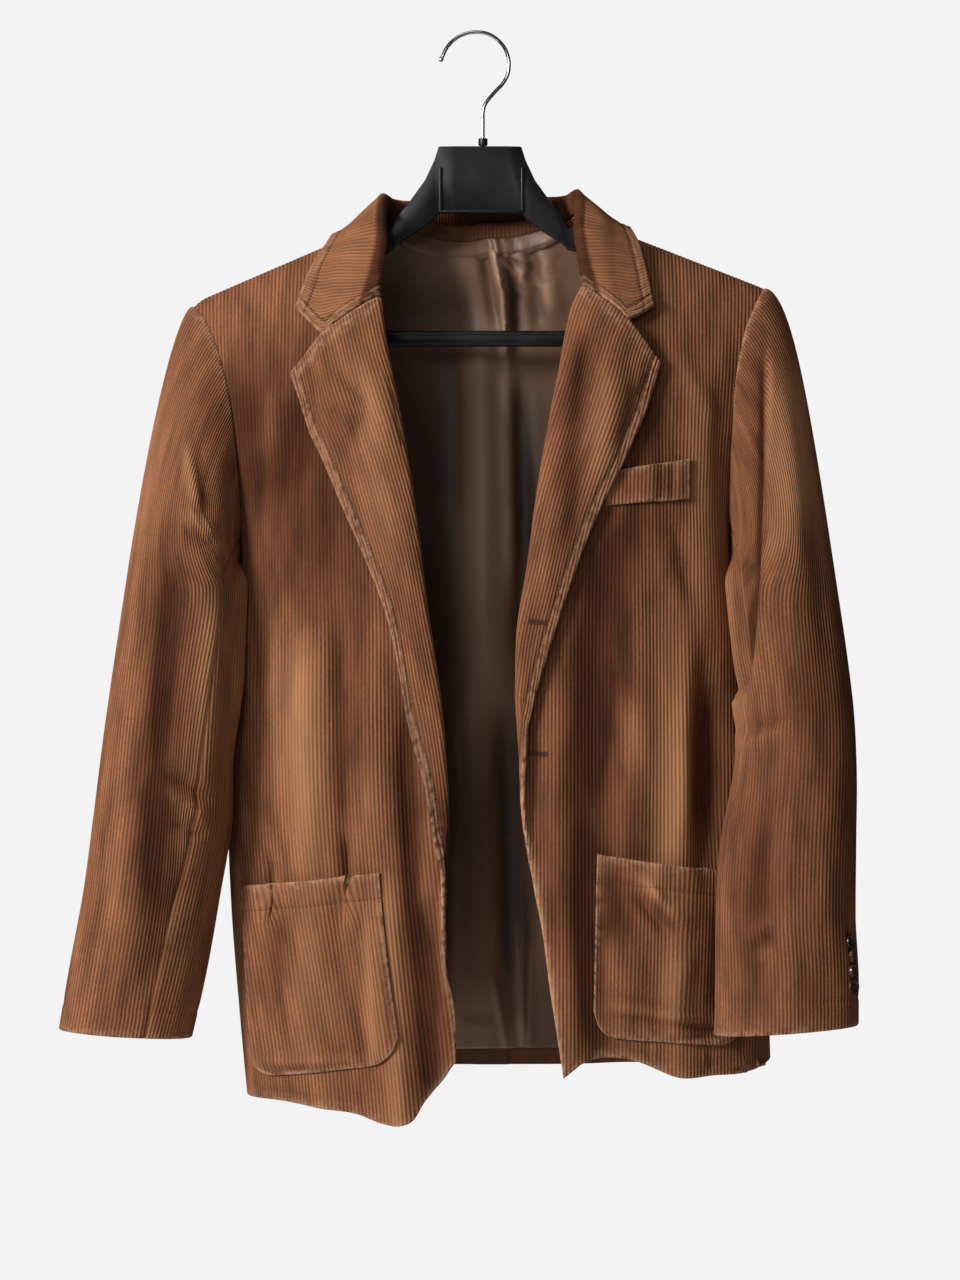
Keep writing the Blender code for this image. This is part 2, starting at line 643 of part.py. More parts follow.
def join_backs():
    """Both back grids, given the same points down the centre seam."""
    grids = {side: back_grid(side) for side in (RIGHT, LEFT)}
    middle = (grids[RIGHT][0][:, -1] + grids[LEFT][0][:, -1]) / 2
    middle[:, 0] = 0
    normal = grids[RIGHT][1][:, -1] + grids[LEFT][1][:, -1]
    normal[:, 0] = 0
    normal /= np.linalg.norm(normal, axis=-1, keepdims=True)
    for points, normals in grids.values():
        points[:, -1] = middle
        normals[:, -1] = normal
    return grids


def make_backs():
    grids = join_backs()
    right, right_normals = grids[RIGHT]
    left, left_normals = grids[LEFT]
    vent = left[:, -1, 2] < VENT_TOP
    for side, (points, normals) in grids.items():
        shell = points.copy()
        inset(shell, "first_column", SEAM / 2)
        inset(shell, "last_column", SEAM / 2)
        shell[0] += (shell[1] - shell[0]) * BACK_STOP
        present = None
        if side == RIGHT:
            # Below the vent's top this panel runs on under the other one.
            shell[vent, -1] -= normals[vent, -1] * LAID
            under = left[:, -2] - left_normals[:, -2] * LAID
            shell = np.concatenate([shell, under[:, None]], 1)
            normals = np.concatenate([normals, left_normals[:, -2:-1]], 1)
            present = np.ones((shell.shape[0] - 1, shell.shape[1] - 1), bool)
            present[:, -1] = vent[:-1]
        cloth("back_" + SIDE_NAMES[side], shell, normals, CLOTH, "corduroy", present)

    points = np.concatenate([right, left[:, -2::-1]], 1)
    normals = np.concatenate([right_normals, left_normals[:, -2::-1]], 1)
    inside, inside_normals = lining_grid(points, normals)
    pleat = PLEAT * np.exp(-(points[..., 0] / PLEAT_WIDTH) ** 2)
    pleat[:2] = 0
    inside -= inside_normals * pleat[..., None]
    inset(inside, "first_column", SEAM)
    inset(inside, "last_column", SEAM)
    cloth("lining_back", inside, inside_normals, LINING, "lining")


def on_panel(side, front, out, share, lift):
    """Points of a panel's own faces, at a distance out and a share of the length, moved out."""
    points, normals = PANELS[side, bool(front)]
    shares = row_share(body_rows())
    out, share, lift = np.broadcast_arrays(out, share, lift)
    result = np.empty((*out.shape, 6))
    for place in np.ndindex(out.shape):
        low = int(np.clip(np.searchsorted(shares, share[place]) - 1, 0, len(shares) - 2))
        t = (share[place] - shares[low]) / (shares[low + 1] - shares[low])
        across = np.concatenate([points[low] * (1 - t) + points[low + 1] * t,
                                 normals[low] * (1 - t) + normals[low + 1] * t], -1)
        order = np.argsort(np.abs(across[:, 0]))
        for axis in range(6):
            result[(*place, axis)] = np.interp(out[place], np.abs(across[order, 0]), across[order, axis])
    normal = result[..., 3:] / np.linalg.norm(result[..., 3:], axis=-1, keepdims=True)
    return result[..., :3] + normal * lift[..., None]


def find_panels():
    """The panels' grids, keyed by side and by whether they are in front."""
    backs = join_backs()
    panels = {(side, False): backs[side] for side in (RIGHT, LEFT)}
    for side in (RIGHT, LEFT):
        points, normals, _ = front_grid(side)
        panels[side, True] = (points[:, :PANEL_COLUMNS + 1], normals[:, :PANEL_COLUMNS + 1])
    return panels


PANELS = find_panels()


# ---------------------------------------------------------------- sleeves
def armhole_ring(side, angle):
    """Point of the armhole, lifted on to the body's outside. angle runs 0 top, pi/2 front."""
    angle = np.mod(angle, 2 * math.pi)
    front = angle <= math.pi
    down = np.where(front, angle, 2 * math.pi - angle) / math.pi
    share = ARMHOLE_END * (1 - np.cos(math.pi * down)) / 2
    around = armhole_angle(side, share, front)
    row = row_angle(share)
    return body_plain(side, around, row) + plain_normal(side, around, row) * (LAID + SEAM)


def sleeve_ring(side, angle, height):
    """Round section of the sleeve below its head."""
    rows = SLEEVE[side]
    order = np.argsort(rows["height"])
    keys = rows["height"][order]
    outer, inner, middle, depth, turn = (curve(height, keys, rows[name][order]) for name in
                                         ("outer", "inner", "middle", "half_depth", "turn"))
    turn = np.radians(turn)
    across = (outer - inner) / 2 * np.cos(angle)
    ahead = depth * np.sin(angle)
    x = side * ((outer + inner) / 2 + across)
    y = middle - ahead - across * np.sin(turn)
    tilt = 4 * np.cos(angle) * ease((-600 - height) / 190)
    return np.stack([x, y, height + tilt], -1)


def sleeve_plain(side, angle, share):
    """Sleeve: share 0 at the armhole, CAP_SHARE at the biceps, 1 at the cuff."""
    angle, share = np.broadcast_arrays(np.asarray(angle, float), np.asarray(share, float))
    top = SLEEVE[side]["height"][0]
    end = SLEEVE[side]["height"][-1]
    below = np.clip((share - CAP_SHARE) / (1 - CAP_SHARE), 0, 1)
    ring = sleeve_ring(side, angle, top + (end - top) * below)
    start = armhole_ring(side, angle)
    biceps = sleeve_ring(side, angle, np.full(angle.shape, top))
    under = sleeve_ring(side, angle, np.full(angle.shape, top - 8.0))
    along = biceps - under
    along /= np.linalg.norm(along, axis=-1, keepdims=True)
    reach = np.linalg.norm(biceps - start, axis=-1, keepdims=True)
    crest = np.maximum(np.cos(angle), 0)[..., None] ** 1.5
    leave = start + crest * HEAD_FULLNESS[side] * np.array((side, 0, -0.25))
    arrive = biceps + along * reach * (0.35 + 0.35 * crest)
    t = np.clip(share / CAP_SHARE, 0, 1)[..., None]
    head = (start * (1 - t) ** 3 + leave * 3 * t * (1 - t) ** 2 + arrive * 3 * t * t * (1 - t)
            + biceps * t ** 3)
    return np.where((share < CAP_SHARE)[..., None], head, ring)


def sleeve_fold(side, angle, share):
    folds = SLEEVE_FOLDS[side]
    total = np.zeros(np.broadcast(angle, share).shape)
    angle = np.mod(angle, 2 * math.pi)
    for k in range(len(folds["width"])):
        top, low = folds["share_top"][k], folds["share_low"][k]
        along = (share - top) / (low - top)
        first, last = np.radians(folds["angle_top"][k]), np.radians(folds["angle_low"][k])
        off = (angle - (first + (last - first) * along)) * 50
        window = ease(along / 0.35) * ease((1 - along) / 0.35)
        total = total + folds["height"][k] * np.exp(-(off / folds["width"][k]) ** 2) * window
    return total


def sleeve(side, angle, share):
    plain = sleeve_plain(side, angle, share)
    normal = normals_of(lambda a, s: sleeve_plain(side, a, s), angle, share, 1.0, side)
    return plain + normal * sleeve_fold(side, angle, share)[..., None]


def sleeve_normal(side, angle, share):
    return normals_of(lambda a, s: sleeve(side, a, s), angle, share, 1.0, side)


HEAD_ROWS = 6
ARM_ROWS = 10
TOP_SLEEVE_COLUMNS = 10
UNDER_SLEEVE_COLUMNS = 7


def seam_angle(side, seam, share):
    at_armhole, at_cuff = SLEEVE_SEAMS[side][seam]
    return np.radians(at_armhole + (at_cuff - at_armhole) * ease(share))


def sleeve_panel(name, side, first, last, columns):
    share = np.concatenate([np.linspace(0, CAP_SHARE, HEAD_ROWS + 1)[:-1],
                            np.linspace(CAP_SHARE, 1, ARM_ROWS + 1)])
    start, end = first(share), last(share)
    angle = start[:, None] + (end - start)[:, None] * np.linspace(0, 1, columns + 1)
    shares = np.repeat(share[:, None], columns + 1, 1)
    points = sleeve(side, angle, shares)
    normals = sleeve_normal(side, angle, shares)
    inset(points, "first_column", SEAM / 2)
    inset(points, "last_column", SEAM / 2)
    cloth(name, points, normals, CLOTH, "corduroy")


def make_sleeve(side):
    name = SIDE_NAMES[side]

    def back_before(share):
        return seam_angle(side, "back", share) - 2 * math.pi

    sleeve_panel("top_sleeve_" + name, side, back_before, lambda s: seam_angle(side, "front", s),
                 TOP_SLEEVE_COLUMNS)
    sleeve_panel("under_sleeve_" + name, side, lambda s: seam_angle(side, "front", s),
                 lambda s: seam_angle(side, "back", s), UNDER_SLEEVE_COLUMNS)
    for number, share in enumerate(BUTTON_SHARES, 1):
        angle = seam_angle(side, "back", np.array(share)) + BUTTON_TURN[side]
        place = sleeve(side, angle, np.array(share))
        out = sleeve_normal(side, angle, np.array(share))
        make_button(f"cuff_button_{name}_{number}", place, out)


def make_button(name, place, out):
    """A round button with a raised rim, seated on the cloth."""
    side_way = np.cross(out, (0, 0, 1.0))
    side_way /= np.linalg.norm(side_way)
    up = np.cross(side_way, out)
    low = CLOTH / 2 + SEAM
    high = low + BUTTON_HEIGHT
    profile = ((0, low), (BUTTON_RADIUS - 1.2, low), (BUTTON_RADIUS, low + 1.1),
               (BUTTON_RADIUS - 0.5, high), (BUTTON_RADIUS - 1.5, high),
               (BUTTON_RADIUS - 2.1, high - 0.8), (0, high - 0.8))
    turned(name, place, side_way, up, out, profile, 10, "horn button")


def turned(name, place, right, up, out, profile, sides, material):
    """A solid of revolution: profile of radius and height along out, first and last on the axis."""
    turns = np.arange(sides) * 2 * math.pi / sides
    rings = [place + out * height + radius * (np.cos(turns)[:, None] * right + np.sin(turns)[:, None] * up)
             for radius, height in profile[1:-1]]
    points = np.concatenate([*rings, [place + out * profile[0][1]], [place + out * profile[-1][1]]])
    first, last = len(points) - 2, len(points) - 1
    faces = []
    for k in range(sides):
        after = (k + 1) % sides
        faces.append((first, after, k))
        for ring in range(len(rings) - 1):
            base = ring * sides
            faces.append((base + k, base + after, base + sides + after, base + sides + k))
        base = (len(rings) - 1) * sides
        faces.append((base + k, base + after, last))
    piece = make_object(name, points, faces, material)
    if signed_volume(piece.data) < 0:
        piece.data.flip_normals()


# ---------------------------------------------------------------- collar
COLLAR_PLACES = (0, .4, .8, 1.15, 1.45, 1.65, 1.8, 1.9, 2, 2.05, 2.15, 2.35, 2.65, 3, 3.3, 3.65, 4)


def collar_section(side, place):
    """Key points across the collar, from the neck seam over the fold to the outer edge."""
    part = COLLAR[side]
    seam_out, seam_share, edge_out, edge_share, rise, lean = (
        curve(place, part["place"], part[name]) for name in COLLAR_COLUMNS.split()[1:])
    seam = on_panel(side, seam_share > 0, seam_out, np.abs(seam_share), SEAM_LIFT)
    away = seam * (1, 1, 0)
    away = away / np.linalg.norm(away)
    seam = seam - away * STAND_INSET
    up = np.array((0, 0, 1.0))
    crown = seam + up * rise + away * lean
    small = min(CROWN, 0.8 * rise)
    before = crown - (away + up) * small
    after = crown + (away - up) * small
    falls = []
    for t in (0.3, 0.55, 0.8, 1.0):
        share = seam_share + (edge_share - seam_share) * t
        lift = FALL_LIFT + (rise + 2 - FALL_LIFT) * (1 - t) ** 2
        falls.append(on_panel(side, share > 0, seam_out + (edge_out - seam_out) * t, np.abs(share), lift))
    return np.stack([seam, (seam + before) / 2, before, crown, after, *falls])


def collar_end(side):
    """Last section, along the gorge: it carries on the lapel's roll and its upper edge."""
    points, normals, _ = front_grid(side)
    row = points[GORGE_ROWS]
    up = points[GORGE_ROWS] - points[GORGE_ROWS + 1]
    up /= np.linalg.norm(up, axis=-1, keepdims=True)
    row = row - normals[GORGE_ROWS] * LAID / 2 + up * GORGE_GAP
    roll = row[PANEL_COLUMNS:PANEL_COLUMNS + ROLL_COLUMNS + 1]
    notch = row[PANEL_COLUMNS + ROLL_COLUMNS + LAPEL_COLUMNS - 2]
    out, height = (np.array(value) for value in LAPEL[side]["corner"])
    corner = on_body(side, out, share_at(side, out, height), np.array(True),
                     np.array(2 * ROLL_RADIUS + 2))
    half = row[PANEL_COLUMNS + ROLL_COLUMNS + (LAPEL_COLUMNS - 2) // 2]
    return np.stack([roll[1], (roll[1] + roll[2]) / 2, roll[2], roll[3], roll[4], half, (half + notch) / 2,
                     notch, corner])


def collar_half(side):
    """Sections from the middle of the back to the gorge, easing into the lapel's own section."""
    end = collar_end(side)
    return np.stack([collar_section(side, place) * (1 - ease(place - 3)) + end * ease(place - 3)
                     for place in COLLAR_PLACES])


def make_collar():
    points = np.concatenate([collar_half(RIGHT)[::-1], collar_half(LEFT)[1:]])
    cloth("collar", points, grid_normals(points), COLLAR_CLOTH, "corduroy")


# ---------------------------------------------------------------- pockets
POCKET_COLUMNS = 9
POCKET_ROWS = 8
LAID_ON = LAID + 1.1   # a turned-in edge holds a patch a little off its panel


def patch(side, top, low, columns, rows, lift, bulge, round_corner):
    """A panel laid on the front between four corners."""
    across = np.linspace(0, 1, columns + 1)[None, :]
    down = np.linspace(0, 1, rows + 1)[:, None]
    ends = [np.array(point, float) for point in (*top, *low)]
    upper = ends[0] + (ends[1] - ends[0]) * across[..., None]
    lower = ends[2] + (ends[3] - ends[2]) * across[..., None]
    flat = upper + (lower - upper) * down[..., None]
    wide = abs(ends[3][0] - ends[2][0])
    from_side = np.minimum(across, 1 - across) * wide
    lack = np.clip(1 - from_side / max(round_corner, 1e-6), 0, 1)
    flat[..., 1] += round_corner * (1 - np.sqrt(1 - lack ** 2)) * down ** 2
    out, height = flat[..., 0], flat[..., 1]
    swell = bulge * np.sin(math.pi * across) ** 0.8 * np.cos(down * math.pi / 2) ** 1.5
    return on_panel(side, True, out, share_at(side, out, height), lift + swell)


def make_pockets():
    for side in (RIGHT, LEFT):
        pocket = POCKET[side]
        points = patch(side, pocket["top"], pocket["low"], POCKET_COLUMNS, POCKET_ROWS, LAID_ON,
                       pocket["bulge"], pocket["round"])
        cloth("pocket_" + SIDE_NAMES[side], points, grid_normals(points), CLOTH, "corduroy")
    points = patch(LEFT, WELT[:2], WELT[2:], 6, 2, LAID_ON, 0, 0)
    cloth("chest_welt", points, grid_normals(points), CLOTH, "corduroy")


# ---------------------------------------------------------------- hanger
def plate_stations():
    """Distance out, top, bottom and half depth of the hanger's plate on one side."""
    return list(zip(HANGER["out"], HANGER["top"], HANGER["bottom"], HANGER["half_depth"]))


def arm_stations(side):
    rows = plate_stations()
    for out, height, half_depth in zip(HANGER_ARM["out"], HANGER_ARM["height"], HANGER_ARM["half_depth"]):
        top = float(shoulder_height(side, np.array(out))) - cloth_drop(out, 0)
        crown = cloth_drop(out, half_depth) - cloth_drop(out, 0)
        rows.append((out, top, top - max(height, crown + 4), half_depth))
    return rows


def cloth_drop(out, depth):
    """How far below the shoulder line the lining's inside is, at a depth from that line."""
    if out < NECK_HALF - 3:
        return depth / 4
    squareness = (1 - (out / WIDTH[RIGHT]["half"][0]) ** SQUARENESS) ** (1 / SQUARENESS)
    reach = min(depth / (DEPTH["back"][0] * squareness), 0.95)
    rounded = math.sqrt(1 - reach ** 2)
    fall = NOMINAL_LENGTH * SHOULDER_SHARE
    slope = fall * reach / (DEPTH["back"][0] * squareness * rounded)
    below = LINED + LINING / 2 + LINING_EASE + HANGER_SPACE
    return fall * (1 - rounded) + below * math.sqrt(1 + slope ** 2)


def make_hanger():
    stations = [(-out, *rest) for out, *rest in reversed(arm_stations(RIGHT))]
    stations += arm_stations(LEFT)[1:]
    rings = []
    for x, top, bottom, depth in stations:
        half = []
        for share in (0.25, 0.6, 1):
            crown = cloth_drop(abs(x), share * depth) - cloth_drop(abs(x), 0)
            half.append((share, top - max(crown, 0)))
        half += [(1, bottom + 2), (0.8, bottom)]
        rings.append([(x, y * depth, z) for y, z in half] + [(x, -y * depth, z) for y, z in reversed(half)])
    tube("hanger_body", np.array(rings), "hanger plastic")
    make_bar()
    make_hook()


def tube(name, rings, material):
    """A closed body through rings of points, with flat ends."""
    count, sides = rings.shape[:2]
    faces = [tuple(range(sides)), tuple(reversed(range((count - 1) * sides, count * sides)))]
    for i in range(count - 1):
        for j in range(sides):
            after = (j + 1) % sides
            faces.append((i * sides + j, (i + 1) * sides + j, (i + 1) * sides + after, i * sides + after))
    piece = make_object(name, rings.reshape(-1, 3), faces, material)
    if signed_volume(piece.data) < 0:
        piece.data.flip_normals()


def sweep(name, route, radii, sides, material):
    """A round rod along a route in the XZ plane."""
    route = np.array(route, float)
    along = np.gradient(route, axis=0)
    along /= np.linalg.norm(along, axis=-1, keepdims=True)
    across = np.stack([-along[:, 1], along[:, 0]], -1)
    turns = np.arange(sides) * 2 * math.pi / sides
    rings = [[(x + radii[0] * math.cos(t) * ax, radii[1] * math.sin(t), z + radii[0] * math.cos(t) * az)
              for t in turns] for (x, z), (ax, az) in zip(route, across)]
    tube(name, np.array(rings), material)


def make_bar():
    """Trouser bar, its ends bent up to the arms."""
    route = []
    for side in (RIGHT, LEFT):
        stations = np.array(arm_stations(side))
        arm_bottom = float(np.interp(BAR_END, stations[:, 0], stations[:, 2]))
        arc = [(side * (BAR_END - BAR_BEND * (1 - math.sin(t))), BAR_HEIGHT + BAR_BEND * (1 - math.cos(t)))
               for t in np.linspace(0, math.pi / 2, 5)]
        end = (side * BAR_END, arm_bottom - SEAM - 0.5)
        ends = [(side * 40, BAR_HEIGHT), *arc]
        if end[1] > arc[-1][1] + 1:
            ends.append(end)
        route.append(ends)
    sweep("hanger_bar", [*reversed(route[0]), *route[1]], BAR_RADII, 10, "hanger plastic")


def make_hook():
    fine = np.linspace(0, len(HOOK_ROUTE) - 1, 26)
    keys = np.arange(len(HOOK_ROUTE))
    across, height = zip(*HOOK_ROUTE)
    route = [(float(curve(t, keys, across)), float(curve(t, keys, height))) for t in fine]
    sweep("hanger_hook", route, (WIRE_RADIUS, WIRE_RADIUS), 8, "steel")
    place = np.array((HOOK_ROUTE[-1][0], 0, 0))
    low = PLATE_TOP + SEAM
    profile = ((0, low), (FERRULE["radius"], low), (FERRULE["radius"], FERRULE["top"]), (0, FERRULE["top"]))
    turned("hanger_ferrule", place, np.array((1.0, 0, 0)), np.array((0, 1.0, 0)), np.array((0, 0, 1.0)),
           profile, 14, "steel")


def main():
    for old in list(bpy.data.objects):
        bpy.data.objects.remove(old)
    for side in (RIGHT, LEFT):
        make_front(side)
        make_sleeve(side)
    make_backs()
    make_collar()
    make_pockets()
    make_hanger()


main()
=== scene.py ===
"""Looks of the corduroy jacket on its hanger.

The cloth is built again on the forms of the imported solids: the same named sizes, in
millimetres, give each panel's surface, and the wales, seams, creases and stitching are
added on it.  +Z is up, -Y is the jacket's front and +X is the wearer's left.
"""

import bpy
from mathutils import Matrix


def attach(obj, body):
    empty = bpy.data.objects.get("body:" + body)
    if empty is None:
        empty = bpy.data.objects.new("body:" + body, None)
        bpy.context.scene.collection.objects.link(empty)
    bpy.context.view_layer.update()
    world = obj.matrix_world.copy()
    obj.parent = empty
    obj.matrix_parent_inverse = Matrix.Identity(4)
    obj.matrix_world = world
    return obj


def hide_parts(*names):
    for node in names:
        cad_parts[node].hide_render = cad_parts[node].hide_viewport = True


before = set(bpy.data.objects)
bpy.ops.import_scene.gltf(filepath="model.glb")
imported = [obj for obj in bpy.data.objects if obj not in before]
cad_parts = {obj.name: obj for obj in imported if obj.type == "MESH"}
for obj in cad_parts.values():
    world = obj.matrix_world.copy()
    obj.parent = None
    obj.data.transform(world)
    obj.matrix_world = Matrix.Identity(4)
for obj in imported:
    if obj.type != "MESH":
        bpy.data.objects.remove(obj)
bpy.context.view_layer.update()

import contextlib
import itertools
import math

import bmesh
import bpy
import numpy as np
from mathutils import Matrix, Vector

METRES = 0.001

# ---------------------------------------------------------------- driving sizes
CLOTH = 1.6            # thickness of the corduroy
LINING = 1.0           # thickness of the satin lining
SEAM = 0.3             # space between two pieces at a seam
LAID = CLOTH + SEAM    # a layer laid on another, middle to middle
LINED = (CLOTH + LINING) / 2 + SEAM
COLLAR_CLOTH = 3.0     # collar and under collar together

SQUARENESS = 2.6       # power of the body's rounded section
SHOULDER_SHARE = 0.30  # share of the length over which the shoulder rounds down
NOMINAL_LENGTH = 650.0
ROLL_RADIUS = 2.5      # middle of the shell where it turns at the lapel's roll
TURNED_STRIP = 4.0     # least width turned past the roll
LAPEL_START = ROLL_RADIUS + 2.7     # a lapel's cloth starts this far outside its roll line

RIGHT, LEFT = -1, 1    # the wearer's sides, as signs of x
SIDE_NAMES = {RIGHT: "right", LEFT: "left"}


def table(columns, *rows):
    """A short table with named columns."""
    return {name: np.array(values, float) for name, values in zip(columns.split(), zip(*rows))}


# Shoulder line: its height where the neck ends, and its fall for each mm outwards.
NECK_HALF = 75.0
SHOULDER = {
    RIGHT: {"neck_height": -152.0, "fall": 0.434, "tip": 230.0},
    LEFT: {"neck_height": -147.5, "fall": 0.392, "tip": 234.0},
}
NECK_DIP = 40.0        # the back neck's drop below the shoulder line's peak
PEAK_ROUNDING = 22.0
TIP_ROUNDING, TIP_FALL = 12.0, 0.03     # the shoulder's line bends down this far before its tip

# Half width of the body's sections, from shoulder (0) to hem (1).
WIDTH = {
    RIGHT: table("share half", (0, 246), (.06, 229), (.14, 212), (.21, 201), (.27, 194),
                 (.337, 190), (.45, 199), (.6, 201), (.76, 198), (.9, 191), (1, 185)),
    LEFT: table("share half", (0, 248), (.06, 231), (.14, 215), (.21, 206), (.27, 201),
                (.337, 199), (.45, 210), (.6, 217), (.76, 223), (.9, 229), (1, 231)),
}
DEPTH = table("share front back", (0, 68, 50), (.3, 70, 52), (.6, 68, 55), (1, 74, 60))

# Armhole: distance from the middle, by share of the length.
ARMHOLE_END = 0.337
ARMHOLE = {
    RIGHT: table("share out", (0, 228), (.03, 218), (.06, 210), (.10, 203), (.14, 197.5),
                 (.20, 193), (.26, 190), (.31, 189), (.337, 190)),
    LEFT: table("share out", (0, 226), (.03, 218), (.06, 211), (.10, 205), (.14, 201),
                (.20, 198.5), (.26, 197), (.31, 197), (.337, 199)),
}

# Front hem: height by distance from the middle; the lower front corner is rounded.
FRONT_HEM = {
    RIGHT: table("out height", (10, -804), (16, -812), (26, -827), (37, -841), (44, -850),
                 (51, -862), (61, -867), (76, -866), (95, -859), (123, -855), (160, -850), (185, -850)),
    LEFT: table("out height", (55, -832), (66, -829), (80, -819), (94, -815), (110, -815), (124, -818),
                (138, -824), (152, -830), (184, -830), (215, -828), (231, -822)),
}
BACK_HEM = -834.0

# Lapel: roll line and outer edge by height, and the point where the turn ends.
LAPEL = {
    RIGHT: {
        "gorge": (77.0, -218.0), "notch": 0.62, "notch_rise": 8.0,
        "corner": (144.0, -227.0), "break": -700.0,
        "roll": table("height out", (-720, 25), (-700, 24), (-682, 22.6), (-630, 22.6), (-580, 25.7),
                      (-535, 29.6), (-471, 39), (-414, 46), (-368, 52.3), (-326, 58.9), (-291, 65.5),
                      (-252, 73), (-218, 77)),
        "edge": table("height out", (-700, 26.4), (-686, 29.6), (-662, 33), (-630, 37.4), (-599, 42.4),
                      (-564, 50.6), (-535, 58.4), (-471, 72), (-423, 89.5), (-388, 104.7), (-351, 120),
                      (-311, 137.4), (-276, 148)),
    },
    LEFT: {
        "gorge": (79.5, -213.0), "notch": 0.55, "notch_rise": 5.5,
        "corner": (135.5, -226.5), "break": -605.0,
        "roll": table("height out", (-625, 31), (-605, 30), (-566, 28), (-519, 27.3), (-472, 29.5),
                      (-440, 35), (-368, 44.8), (-311, 54.6), (-271, 62.4), (-248, 66.5), (-224, 73),
                      (-213, 79)),
        "edge": table("height out", (-605, 31.5), (-581, 33), (-535, 42.8), (-471, 61.2), (-414, 81),
                      (-379, 96.2), (-338, 116), (-303, 130.8), (-271, 140.2)),
    },
}
# Front edge below the turn.
FRONT_EDGE = {
    RIGHT: table("height out", (-830, 13), (-807, 13.2), (-777, 16), (-759, 21), (-723, 23.5), (-700, 24),
                 (-680, 24)),
    LEFT: table("height out", (-832, 63), (-807, 59.2), (-760, 53), (-714, 47.5), (-675, 40),
                (-651, 37.4), (-612, 31), (-590, 30)),
}
BREAK_BLEND = 70.0     # length over which the turned front unrolls
LINING_EASE = 2.5      # how much further in the lining hangs between its seams
LINING_HEM = 14.0      # the lining ends above the hem
PLEAT, PLEAT_WIDTH = 5.0, 40.0     # depth and half width of the lining's centre pleat

# Folds of the body's cloth: place of each end, half width, height (+ out), and
# the share of its length over which each end fades.
FOLD_COLUMNS = "side face x_top z_top x_low z_low width height fade"
FRONT, BACK = 1, -1
LOWEST_FADE = -800.0   # a fold that ends below this height runs out over the hem
FOLDS = table(
    FOLD_COLUMNS,
    (LEFT, FRONT, 178, -470, 180, -700, 12, -8, .45),
    (LEFT, FRONT, 177, -500, 173, -690, 6, -5, .35),
    (LEFT, FRONT, 163, -470, 158, -690, 7, 3.5, .35),
    (LEFT, FRONT, 150, -480, 158, -830, 14, 4, .4),
    (LEFT, FRONT, 121, -400, 126, -690, 13, 6, .4),
    (LEFT, FRONT, 94, -390, 90, -690, 16, -6, .4),
    (LEFT, FRONT, 188, -260, 188, -400, 6, -2, .4),
    (LEFT, FRONT, 56, -500, 70, -832, 12, 4, .35),
    (LEFT, FRONT, 90, -620, 98, -832, 17, -5, .35),
    (LEFT, FRONT, 150, -380, 168, -470, 7, -3, .4),
    (LEFT, FRONT, 120, -260, 178, -420, 18, -3, .4),
    (LEFT, FRONT, 150, -250, 190, -330, 9, 2.5, .4),
    (RIGHT, FRONT, 172, -430, 170, -640, 8, -2.5, .45),
    (RIGHT, FRONT, 170, -400, 172, -530, 7, -3, .4),
    (RIGHT, FRONT, 176, -250, 174, -430, 8, -4, .4),
    (RIGHT, FRONT, 137, -440, 134, -700, 14, 5, .4),
    (RIGHT, FRONT, 115, -430, 104, -705, 8, -3.5, .3),
    (RIGHT, FRONT, 106, -635, 101, -712, 4, -6, .3),
    (RIGHT, FRONT, 165, -650, 163, -715, 4, -6, .3),
    (RIGHT, FRONT, 87, -470, 84, -670, 10, 6, .4),
    (RIGHT, FRONT, 62, -500, 50, -730, 9, -7, .4),
    (RIGHT, FRONT, 74, -655, 63, -835, 9, 6, .3),
    (RIGHT, FRONT, 45, -680, 36, -850, 10, -4, .35),
    (RIGHT, FRONT, 150, -700, 120, -866, 12, 3, .35),
    (RIGHT, FRONT, 120, -270, 172, -400, 16, -4, .4),
    (RIGHT, FRONT, 160, -280, 178, -360, 8, 2.5, .4),
    (LEFT, FRONT, 94, -806, 190, -824, 3, -2.0, .3),
    (LEFT, FRONT, 100, -800, 180, -816, 3, 1.8, .3),
    (LEFT, FRONT, 150, -815, 205, -822, 4, 2.0, .3),
    (RIGHT, FRONT, 80, -842, 180, -846, 3, -1.6, .3),
    (RIGHT, BACK, 120, -300, 100, -834, 20, 5, .4),
    (RIGHT, BACK, 160, -420, 155, -834, 16, -6, .4),
    (LEFT, BACK, 95, -330, 112, -834, 20, 5, .4),
    (LEFT, BACK, 165, -420, 175, -834, 16, -6, .4),
)

# Sleeves: sections from the biceps to the cuff; outer and inner edge seen from
# the front, middle of the depth, half depth, and turn of the section (degrees).
CAP_SHARE = 0.32       # share of the sleeve's stations taken by the sleeve head
HEAD_FULLNESS = {RIGHT: 10.0, LEFT: 21.0}
HEAD_FALL, HEAD_PULL = 0.25, 0.35      # how steeply its crest falls, and how straight it meets the arm
SLEEVE_COLUMNS = "height outer inner middle half_depth turn"
SLEEVE = {
    RIGHT: table(
        SLEEVE_COLUMNS,
        (-446, 279.5, 192.5, -33, 48, 0), (-494, 285.5, 194.5, -44, 48, 2),
        (-566, 295, 196.5, -51, 46, 4), (-629, 302.5, 196, -53, 43, 6),
        (-689, 310.5, 206, -51, 40, 8), (-744, 320.5, 216, -50, 38, 8),
        (-797, 329.5, 228, -50, 36, 8)),
    LEFT: table(
        SLEEVE_COLUMNS,
        (-446, 281, 201.5, -37, 46, 0), (-497, 287, 205, -50, 46, 4),
        (-545, 291.5, 207, -60, 45, 8), (-591, 292.5, 200, -70, 42, 10),
        (-648, 291.5, 188.5, -77, 38, 8), (-708, 291.5, 184.5, -80, 34, 4),
        (-747, 293.5, 184, -84, 33, 2), (-791, 293.5, 183, -86, 32, 0)),
}
